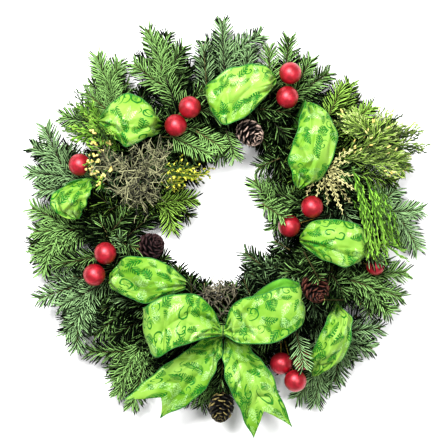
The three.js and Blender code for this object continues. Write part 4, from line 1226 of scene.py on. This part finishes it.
def needles(bunch, path, rng, tint, bare, scale):
    """Needles in close ranks along a shoot: combed out to both sides, and lying forward over its top."""
    length = length_of(path) / MM
    ranks = int((length - bare) / RANK_GAP)
    if ranks < 3:
        return
    count = ranks * len(RANK)
    rank, place = np.divmod(np.arange(count), len(RANK))
    rise, lean, part, lighter = (np.array(column)[place] for column in zip(*RANK))
    step = rank + 0.5 + 0.36 * (place % 2) + rng.normal(0, 0.1, count)
    share = ((bare + step * (length - bare) / ranks) / length).clip(0, 1)
    rise = np.radians(rise + 10 * (rank % 2 - 0.5) + rng.normal(0, 6, count))
    lean = np.radians(lean + (TIP_LEAN - lean) * share**5 + rng.normal(0, 3.4, count))
    origin = sampled(path, share)
    tangent, side, above = directions_at(path, share)
    heading = unit(turned(lean, tangent, turned(rise, side, above)))
    reach = NEEDLE_LENGTH * scale * part * (1 - 0.28 * share**6) * rng.uniform(0.88, 1.1, count) * MM
    along = heading * reach[:, None]
    keep = free_ones(origin, along)
    face = unit(above + 0.3 * rng.normal(0, 1, (count, 3)))
    top = unit(face - heading * (face * heading).sum(1, keepdims=True))
    # each needle's lightness carries its rank's painted shade (low side ranks) and painted light (upper
    # ranks)
    shade = np.clip(tint + lighter + rng.normal(0, 0.22, count), 0, 1)
    across = np.cross(heading, top) * (rng.uniform(0.84, 1.02, count)[:, None] * MM * scale)
    bunch.stamp(NEEDLE, *kept(keep, origin, across, along, top * NEEDLE_THICK * MM, shade), 0,
                rng.uniform(2, 9, count)[keep])


def shoot(bunch, path, rng, tint, bare=0.0, girth=1.0, scale=1.0, held_back=5):
    """A woody stem with needles and a cluster of buds at its end."""
    length = length_of(path) / MM
    path = sampled(path, np.linspace(0, max(0.4, 1 - held_back / length), len(path)))
    bunch.rod(path, np.linspace(*FIR_STEM, len(path)) * girth * MM, 1, rng.random(), 5)
    needles(bunch, path, rng, tint, bare, scale)
    tangent, side, above = (way[-1:] for way in directions(path))
    for dx, reach in ((0, 3.6), (-1.1, 2.6), (1.1, 2.6)):
        heading = unit(tangent + side * dx * 0.4)
        bunch.stamp(BUD_BIT, path[-1:] + side * dx * MM * 0.6, side * MM, heading * reach * MM, above * MM,
                    rng.random(1), 2)


def side_shoots(bunch, path, rng, tint, start, reach):
    """Shorter shoots in turn off a longer one, flat and swept forward."""
    length = length_of(path) / MM
    place = start
    flip = 1
    while place < length - 40:
        share = place / length
        origin = sampled(path, [share])[0]
        tangent, side, above = (way[0] for way in directions_at(path, np.array([share])))
        lean = math.radians(rng.uniform(*SIDE_SHOOT_LEAN))
        heading = math.cos(lean) * tangent + math.sin(lean) * flip * side + above * rng.uniform(-0.1, 0.12)
        far = reach * (1 - 0.5 * share) * rng.uniform(0.85, 1.15)
        end = origin + heading * far * MM
        end[2] = max(end[2] - 7 * MM, 6 * MM)
        if is_clear(origin, end):
            twig = arc(origin, origin + (end - origin) * 0.5 - tangent * 2 * MM, end, 7)
            # the side shoots lie lower than their stem: painted shade on their needles
            painted_shade_tint = max(0.0, tint - 0.5 + rng.normal(0, 0.12))
            shoot(bunch, twig, rng, painted_shade_tint, girth=0.5, scale=0.86, held_back=2)
        place += rng.uniform(*SIDE_SHOOT_GAP)
        flip = -flip


def inner_edge(degrees):
    """Pixels from the middle to the foliage's inner edge, at a bearing."""
    places = np.arange(len(INNER_EDGE) + 1) * 15
    return float(np.interp(degrees % 360, places, INNER_EDGE + INNER_EDGE[:1]))


def covering_shoots():
    """Short shoots all round that hide the moss: each one's bearing, its path and its row."""
    rng = np.random.default_rng(12)
    for count, way, row in COVER_ROWS:
        for i in range(count):
            degrees = 360 * (i + rng.uniform(-0.3, 0.3)) / count
            start = RING_RADIUS + rng.uniform(*way["start"])
            pixels = rng.uniform(*way["end"])
            if way is OUTWARDS:
                pixels += OUTER_COVER - row["back"]
            else:
                pixels += inner_edge(degrees) + row["back"]
                if UNDER_BOW[0] < degrees % 360 < UNDER_BOW[1]:
                    pixels -= UNDER_BOW_MORE
            end = pixels * MM_PER_PIXEL
            swing = rng.uniform(*way["swing"])
            path = arc(
                ring_point(start, degrees + swing, row["height"]),
                ring_point((start + end) / 2, degrees + swing * 0.2, row["height"] + row["arch"]),
                ring_point(end, degrees - swing * 0.8, row["height"] + rng.uniform(-12, 4)),
                12,
            )
            yield degrees % 360, path, row


def fir_spray(name, colour, level, root, tips, cover):
    rng = draws(name)
    bunch = Bunch()
    trunk, *branches = spray_paths("fir", level, root, tips)
    held_back = 15 if "inner" in name else 6
    tint = rng.uniform(0.5, 0.8) + SPRAY_SHADE.get(name, 0)
    shoot(bunch, trunk, rng, tint, bare=16, held_back=held_back)
    side_shoots(bunch, trunk, rng, tint, 42, 46)
    for path in branches:
        lighter = np.clip(tint + rng.normal(0, 0.15), 0, 1)
        shoot(bunch, path, rng, lighter, bare=4, girth=0.72, held_back=held_back)
        side_shoots(bunch, path, rng, lighter, 16, 34)
    for path, row in cover:
        # dark needles on the covering shoots: painted shade under the sprays
        shoot(bunch, path, rng, rng.uniform(0.0, row["tint"]), bare=3, girth=0.7)
    for start, end, lighter in ACCENT_SHOOTS.get(name, ()):
        shoot(bunch, bowed(at(*start), at(*end), 14, 4), rng, lighter, bare=2, girth=0.7, scale=0.9)
    return finished(bunch.piece(name), FIR_SLOTS[colour], name, materials=[NEEDLES[colour], BARK, BUD])


def nearest_spray(degrees):
    def apart(name):
        x, y, _ = at(*FIR_SPRAYS[name][2], 0)
        away = abs(math.degrees(math.atan2(y, x)) % 360 - degrees) % 360
        return min(away, 360 - away)
    return min(FIR_SPRAYS, key=apart)


cover = {name: [] for name in FIR_SPRAYS}
for degrees, path, row in covering_shoots():
    if all(is_clear(a, b) for a, b in zip(path[:-1], path[1:])):
        cover[nearest_spray(degrees)].append((path, row))
for name, spray in FIR_SPRAYS.items():
    fir_spray(name, *spray, cover[name])

# ---------------------------------------------------------------- cedar, cypress and dry twigs


def strand(bunch, path, rng, tint, look, slot=0, beads=0.0):
    """A long string of scale leaves, with short ones in turn to either side and small cones at some ends."""
    length = length_of(path) / MM
    bunch.rod(path, np.resize([0.8, 0.55], len(path)) * MM, slot, tint, 5)
    share = np.arange(look["gap"], length, look["gap"]) / length
    count = len(share)
    if count == 0:
        return
    origin = sampled(path, share)
    tangent, side, above = directions_at(path, share)
    flip = np.where(np.arange(count) % 2, 1.0, -1.0)[:, None]
    lean = np.radians(look["spread"] + rng.normal(0, 6, count))
    climb = rng.uniform(-0.25, 0.3, (count, 1))
    heading = unit(turned(lean, tangent, flip * side) + above * climb)
    reach = look["side"] * (1.15 - 0.6 * share) * rng.uniform(0.6, 1.2, count)
    thick = look["thick"] * MM
    for far, where, swing in ((1.0, 0.0, 0.0), (0.55, 0.35, look["swing"]), (0.5, 0.6, -look["swing"])):
        start = origin + heading * (reach * where)[:, None] * MM
        way = unit(heading + swing * flip * side) * (reach * far)[:, None] * MM
        keep = free_ones(start, way)
        across = unit(np.cross(way, above))
        top = np.cross(across, unit(way))
        shade = np.clip(tint + rng.normal(0, 0.15, count), 0, 1)
        bunch.stamp(LEAFLET, *kept(keep, start, across * thick, way, top * thick * 0.75, shade), slot)
        if beads > 0:
            chosen = keep & (rng.random(count) < beads)
            size = look["bead"] * rng.uniform(0.8, 1.15, (count, 1)) * MM
            end = start + way - unit(way) * size * 0.3
            oval = unit(way) * size * look["oval"]
            bunch.stamp(BEAD, *kept(chosen, end, across * size / 2, oval, top * size / 2),
                        rng.random(chosen.sum()), 1)


def cone_cluster(bunch, end, root, rng, look):
    """A short strand that ends in a cluster of small round cones."""
    path = bowed(end + (root - end) * 0.3, end, 12, 2)
    strand(bunch, path, rng, rng.random(), look)
    count = rng.integers(5, 9)
    origin = sampled(path, rng.uniform(0.45, 1, count))
    heading = unit(rng.normal(0, 1, (count, 3)) * [1, 1, 0.5] + [0, 0, 0.4])
    size = look["bead"] * rng.uniform(0.8, 1.15, (count, 1)) * MM
    side = unit(np.cross(heading, [0.3, 0.2, 1.0]))
    above = np.cross(side, heading)
    keep = free_ones(origin, heading * size)
    bunch.stamp(BEAD, *kept(keep, origin, side * size / 2, heading * size, above * size / 2),
                rng.random(keep.sum()), 1)


def strand_spray(name, kind, level, root, tips):
    """Stems that carry long strands, fanned out round the way that each stem runs."""
    rng = draws(name)
    bunch = Bunch()
    look = STRAND_LOOKS[name]
    paths = spray_paths(kind, level, root, tips)
    for path in paths:
        strand(bunch, path, rng, rng.uniform(0.3, 0.7), look)
        for k in range(look["strands"]):
            share = 0.22 + 0.7 * (k + rng.random()) / look["strands"]
            start, ahead = sampled(path, [share, min(1, share + 0.06)])
            along = unit(ahead - start)
            side = unit(np.cross(along, [0, 0, 1])) * (1 if k % 2 else -1)
            far = rng.uniform(*look["reach"]) * (1.12 - 0.5 * share)
            fan = rng.uniform(0.1, look["fan"])
            end = start + unit(along + side * fan + [0, 0, rng.uniform(-0.16, 0.12)]) * far * MM
            end[2] = max(end[2], 4 * MM)
            if is_clear(start, end):
                middle = (start + end) / 2 + side * far * 0.07 * MM + [0, 0, far * 0.04 * MM]
                near = max(0.0, 1 - np.linalg.norm(start - paths[0][0]) / (100 * MM))
                path_out = arc(start, middle, end, 16)
                strand(bunch, path_out, rng, rng.random(), look, beads=look["beads"] * near)
    for ends in LONG_STRINGS.get(name, ()):
        start, end = (at(*place) + rng.normal(0, 3.5, 3) * [MM, MM, 0.5 * MM] for place in ends)
        strand(bunch, bowed(start, end, 24, 12, 4), rng, rng.uniform(0.2, 1), look, beads=look["beads"])
    for end in STRAW_STRANDS.get(name, ()):
        path = sampled(bowed(at(*root, 70), at(*end), 16, 10), np.linspace(0.2, 1, 14))
        strand(bunch, path, rng, rng.uniform(0.4, 1), STRAND_LOOKS["straw"], 2)
    for place in CONE_CLUSTERS.get(name, ()):
        cone_cluster(bunch, at(*place), at(*root, 60), rng, look)
    return finished(bunch.piece(name), kind, name, materials=LEAVES[name])


def dry_twig(bunch, start, heading, reach, radius, rng, depth):
    """A crooked twig that forks again and again."""
    points = [start]
    way = heading
    for _ in range(5):
        way = unit(way + rng.normal(0, 0.16, 3) * [1, 1, 0.5])
        points.append(points[-1] + way * reach / 5 * MM)
    path = np.array(points)
    if path[:, 2].min() < 2 * MM or not is_clear(start, path[-1]):
        return
    bunch.rod(path, np.linspace(radius, radius * 0.6, 6) * MM, 0, rng.random(), 5)
    if depth == 0:
        return
    for _ in range(3):
        fork = path[rng.integers(1, 6)]
        side = unit(rng.normal(0, 1, 3) * [1, 1, 0.35])
        shorter = reach * rng.uniform(0.45, 0.75)
        dry_twig(bunch, fork, unit(way * 0.8 + side), shorter, radius * 0.72, rng, depth - 1)


def twig_spray(name, level, root, tips, bark, number, reach):
    rng = draws(name, 2)
    bunch = Bunch()
    for path in spray_paths("twig", level, root, tips):
        bunch.rod(path, np.linspace(1.2, 0.6, len(path)) * MM, sides=5)
        for _ in range(number):
            share = rng.uniform(0.35, 1)
            start, ahead = sampled(path, [share, min(1, share + 0.08)])
            side = unit(rng.normal(0, 1, 3) * [1, 1, 0.3]) + unit(ahead - start) * 0.6
            dry_twig(bunch, start, unit(side), rng.uniform(*reach), 0.95, rng, 2)
    return finished(bunch.piece(name), "dry_twig", name, materials=[bark])


for name, spray in STRAND_SPRAYS.items():
    strand_spray(name, *spray)
twig_spray("twigs_w", *TWIG_SPRAYS["twigs_w"], DRY_BARK, 14, (16, 32))
twig_spray("twigs_s", *TWIG_SPRAYS["twigs_s"], DARK_BARK, 9, (9, 18))

# ---------------------------------------------------------------- frame, moss and wire


def moss_ring():
    """Packed moss: a lumpy ring, flat where it lies on the frame, with stray fibres all over."""
    tube = 20
    fresh_start()
    bpy.ops.mesh.primitive_torus_add(major_segments=220, minor_segments=40, major_radius=RING_RADIUS * MM,
                                     minor_radius=tube * MM)
    piece = added("moss_ring")
    points = points_of(piece)
    out = np.hypot(points[:, 0], points[:, 1]) - RING_RADIUS * MM
    turn = np.arctan2(points[:, 1], points[:, 0])
    section = np.arctan2(points[:, 2], out)
    lumps = (np.sin(9 * turn + 2 * np.sin(section * 2)) + np.sin(23 * turn + 3 * section)
             + 0.7 * np.sin(41 * turn - 5 * section) + 0.6 * np.sin(67 * turn + 7 * section))
    swell = 1 + 0.022 * lumps
    radius = RING_RADIUS * MM + out / tube * MOSS_HALF_WIDTH * swell
    height = points[:, 2] / tube * MOSS_HALF_HEIGHT * swell + MOSS_MIDDLE * MM
    height = np.maximum(height, MOSS_UNDERSIDE * MM)
    move_points(piece, np.stack([radius * np.cos(turn), radius * np.sin(turn), height], axis=1))
    smoothed(piece)
    middles, normals = (np.array([getattr(face, what) for face in piece.data.polygons])
                        for what in ("center", "normal"))
    rng = np.random.default_rng(5)
    chosen = rng.choice(len(middles), MOSS_FIBRES)
    origin = middles[chosen] - normals[chosen] * 1.5 * MM
    heading = unit(normals[chosen] + rng.normal(0, 0.8, (MOSS_FIBRES, 3)))
    along = heading * (rng.uniform(3, 8, MOSS_FIBRES)[:, None] * MM)
    keep = (origin + along)[:, 2] > (MOSS_UNDERSIDE - 0.2) * MM
    side = unit(np.cross(heading, rng.normal(0, 1, heading.shape)))
    above = np.cross(side, heading)
    fibres = Bunch()
    fibres.stamp(FIBRE, *kept(keep, origin, side * 0.3 * MM, along, above * 0.3 * MM),
                 rng.random(keep.sum()), 0, rng.uniform(-6, 6, keep.sum()))
    finished(fibres.piece("moss_fibres"), "moss", materials=[MOSS])
    finished(piece, "moss", "moss_ring", materials=[MOSS])


def wire_frame():
    """Two hoops of round wire with flattened struts welded across them."""
    bunch = Bunch()
    turn = np.linspace(0, 2 * math.pi, 161)
    for side in (-1, 1):
        hoop = turned(turn, np.array([1, 0, 0]), np.array([0, 1, 0])) * (RING_RADIUS + side * HOOP_OFFSET)
        bunch.rod((hoop + [0, 0, HOOP_HEIGHT]) * MM, HOOP_WIRE / 2 * MM, sides=12)
    for i in range(STRUTS):
        turn = 2 * math.pi * (i + 0.5) / STRUTS
        out = np.array([math.cos(turn), math.sin(turn), 0])
        side = np.array([-out[1], out[0], 0])
        half = HOOP_OFFSET * MM
        middle = out * RING_RADIUS * MM + [0, 0, STRUT_HEIGHT / 2 * MM]
        bunch.stamp(STRUT, (middle - out * half)[None], (side * STRUT_WIDTH / 2 * MM)[None],
                    (out * 2 * half)[None], np.array([[0, 0, STRUT_HEIGHT / 2 * MM]]), np.array([0.5]), 0)
    finished(bunch.piece("wire_frame"), "frame_wire", "wire_frame", materials=[FRAME_WIRE])


def green_wire(name, path, radius, sides):
    bunch = Bunch()
    bunch.rod(path, radius * MM, sides=sides)
    finished(bunch.piece(name), "binding_wire", name, materials=[GREEN_WIRE])


def binding_wire():
    """One wire: straight in under the hoops, up the inside of the moss, and over the top to the next turn."""
    lap = [(27, 1.26), (-25, 1.26), (-27.2, 14), (-24.6, 27.5), (-12, 37.4), (12, 37.4), (24.6, 27.5),
           (27.2, 14)]
    step = 360 / BIND_TURNS
    points = [ring_point(RING_RADIUS + offset, BIND_START + step * (turn + max(0, i - 3) / 5), z)
              for turn in range(BIND_TURNS) for i, (offset, z) in enumerate(lap)]
    path = smooth_path(points[:-1], 560)
    path[:, 2] = np.maximum(path[:, 2], BIND_WIRE * MM)
    green_wire("binding_wire", path, BIND_WIRE / 2, 6)


def tie_wire():
    """The wire over the middle of the bow, with both legs down in the moss."""
    half = (max(LOOP_PINCH[3], TAIL_PINCH[3]) / 2 + 0.35 + 0.8) / MM_PER_PIXEL
    top = LOOP_PINCH[1] + 1.15
    down, up = ([at(KNOT[0], KNOT[1] - side * half, z) for z in (STALK_FOOT, MOSS_TOP, top - 12, top - 2)]
                for side in (-1, 1))
    crown = []
    for share in (0.3, 0.7):
        point = at(*KNOT, top)
        point[1] = down[0][1] + (up[0][1] - down[0][1]) * share
        crown.append(point)
    green_wire("bow_tie_wire", smooth_path([*down, *crown, *up[::-1]], 60), PICK_RADIUS, 8)


moss_ring()
wire_frame()
binding_wire()
tie_wire()

# ---------------------------------------------------------------- floor, light and camera


def floor():
    fresh_start()
    bpy.ops.mesh.primitive_plane_add(size=12)
    ground = added("floor")
    ground.data.materials.append(floor_finish())
    ground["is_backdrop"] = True


def softbox(name, place, size, watts):
    """A square light that shines on the wreath's middle."""
    fresh_start()
    bpy.ops.object.light_add(type="AREA", location=place)
    light = bpy.context.object
    light.name = name
    light.data.shape = "SQUARE"
    light.data.size = size
    light.data.energy = watts
    light.rotation_euler = (-Vector(place)).to_track_quat("-Z", "Y").to_euler()


def surroundings():
    world = bpy.data.worlds.new("studio")
    world.use_nodes = True
    sky = world.node_tree.nodes["Background"]
    sky.inputs["Color"].default_value = (1, 1, 1, 1)
    sky.inputs["Strength"].default_value = SKY_STRENGTH
    bpy.context.scene.world = world


def look_down():
    """A long lens straight over the wreath, framed as the photograph is."""
    x, y, _ = at(FRAME_PIXELS / 2, FRAME_PIXELS / 2, 0)
    fresh_start()
    bpy.ops.object.camera_add(location=(x, y, CAMERA_HEIGHT + SUBJECT_HEIGHT * MM), rotation=(0, 0, 0))
    camera = bpy.context.object
    camera.name = "view_from_above"
    camera.data.sensor_width = 36
    camera.data.lens = 36 * CAMERA_HEIGHT / (FRAME_PIXELS * MM_PER_PIXEL * MM)
    camera.data.clip_end = 100
    bpy.context.scene.camera = camera
    bpy.context.scene.view_settings.view_transform = "Standard"
    bpy.context.scene.view_settings.look = "Medium High Contrast"


floor()
surroundings()
softbox("key_light", (-0.45, 0.9, 1.9), 1.1, 94)
softbox("fill_light", (0.8, -0.1, 2.2), 0.6, 26)
look_down()

boxes = {"cad": cad_box, "visual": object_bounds()}
{name: [list(corner) for corner in box] for name, box in boxes.items()}
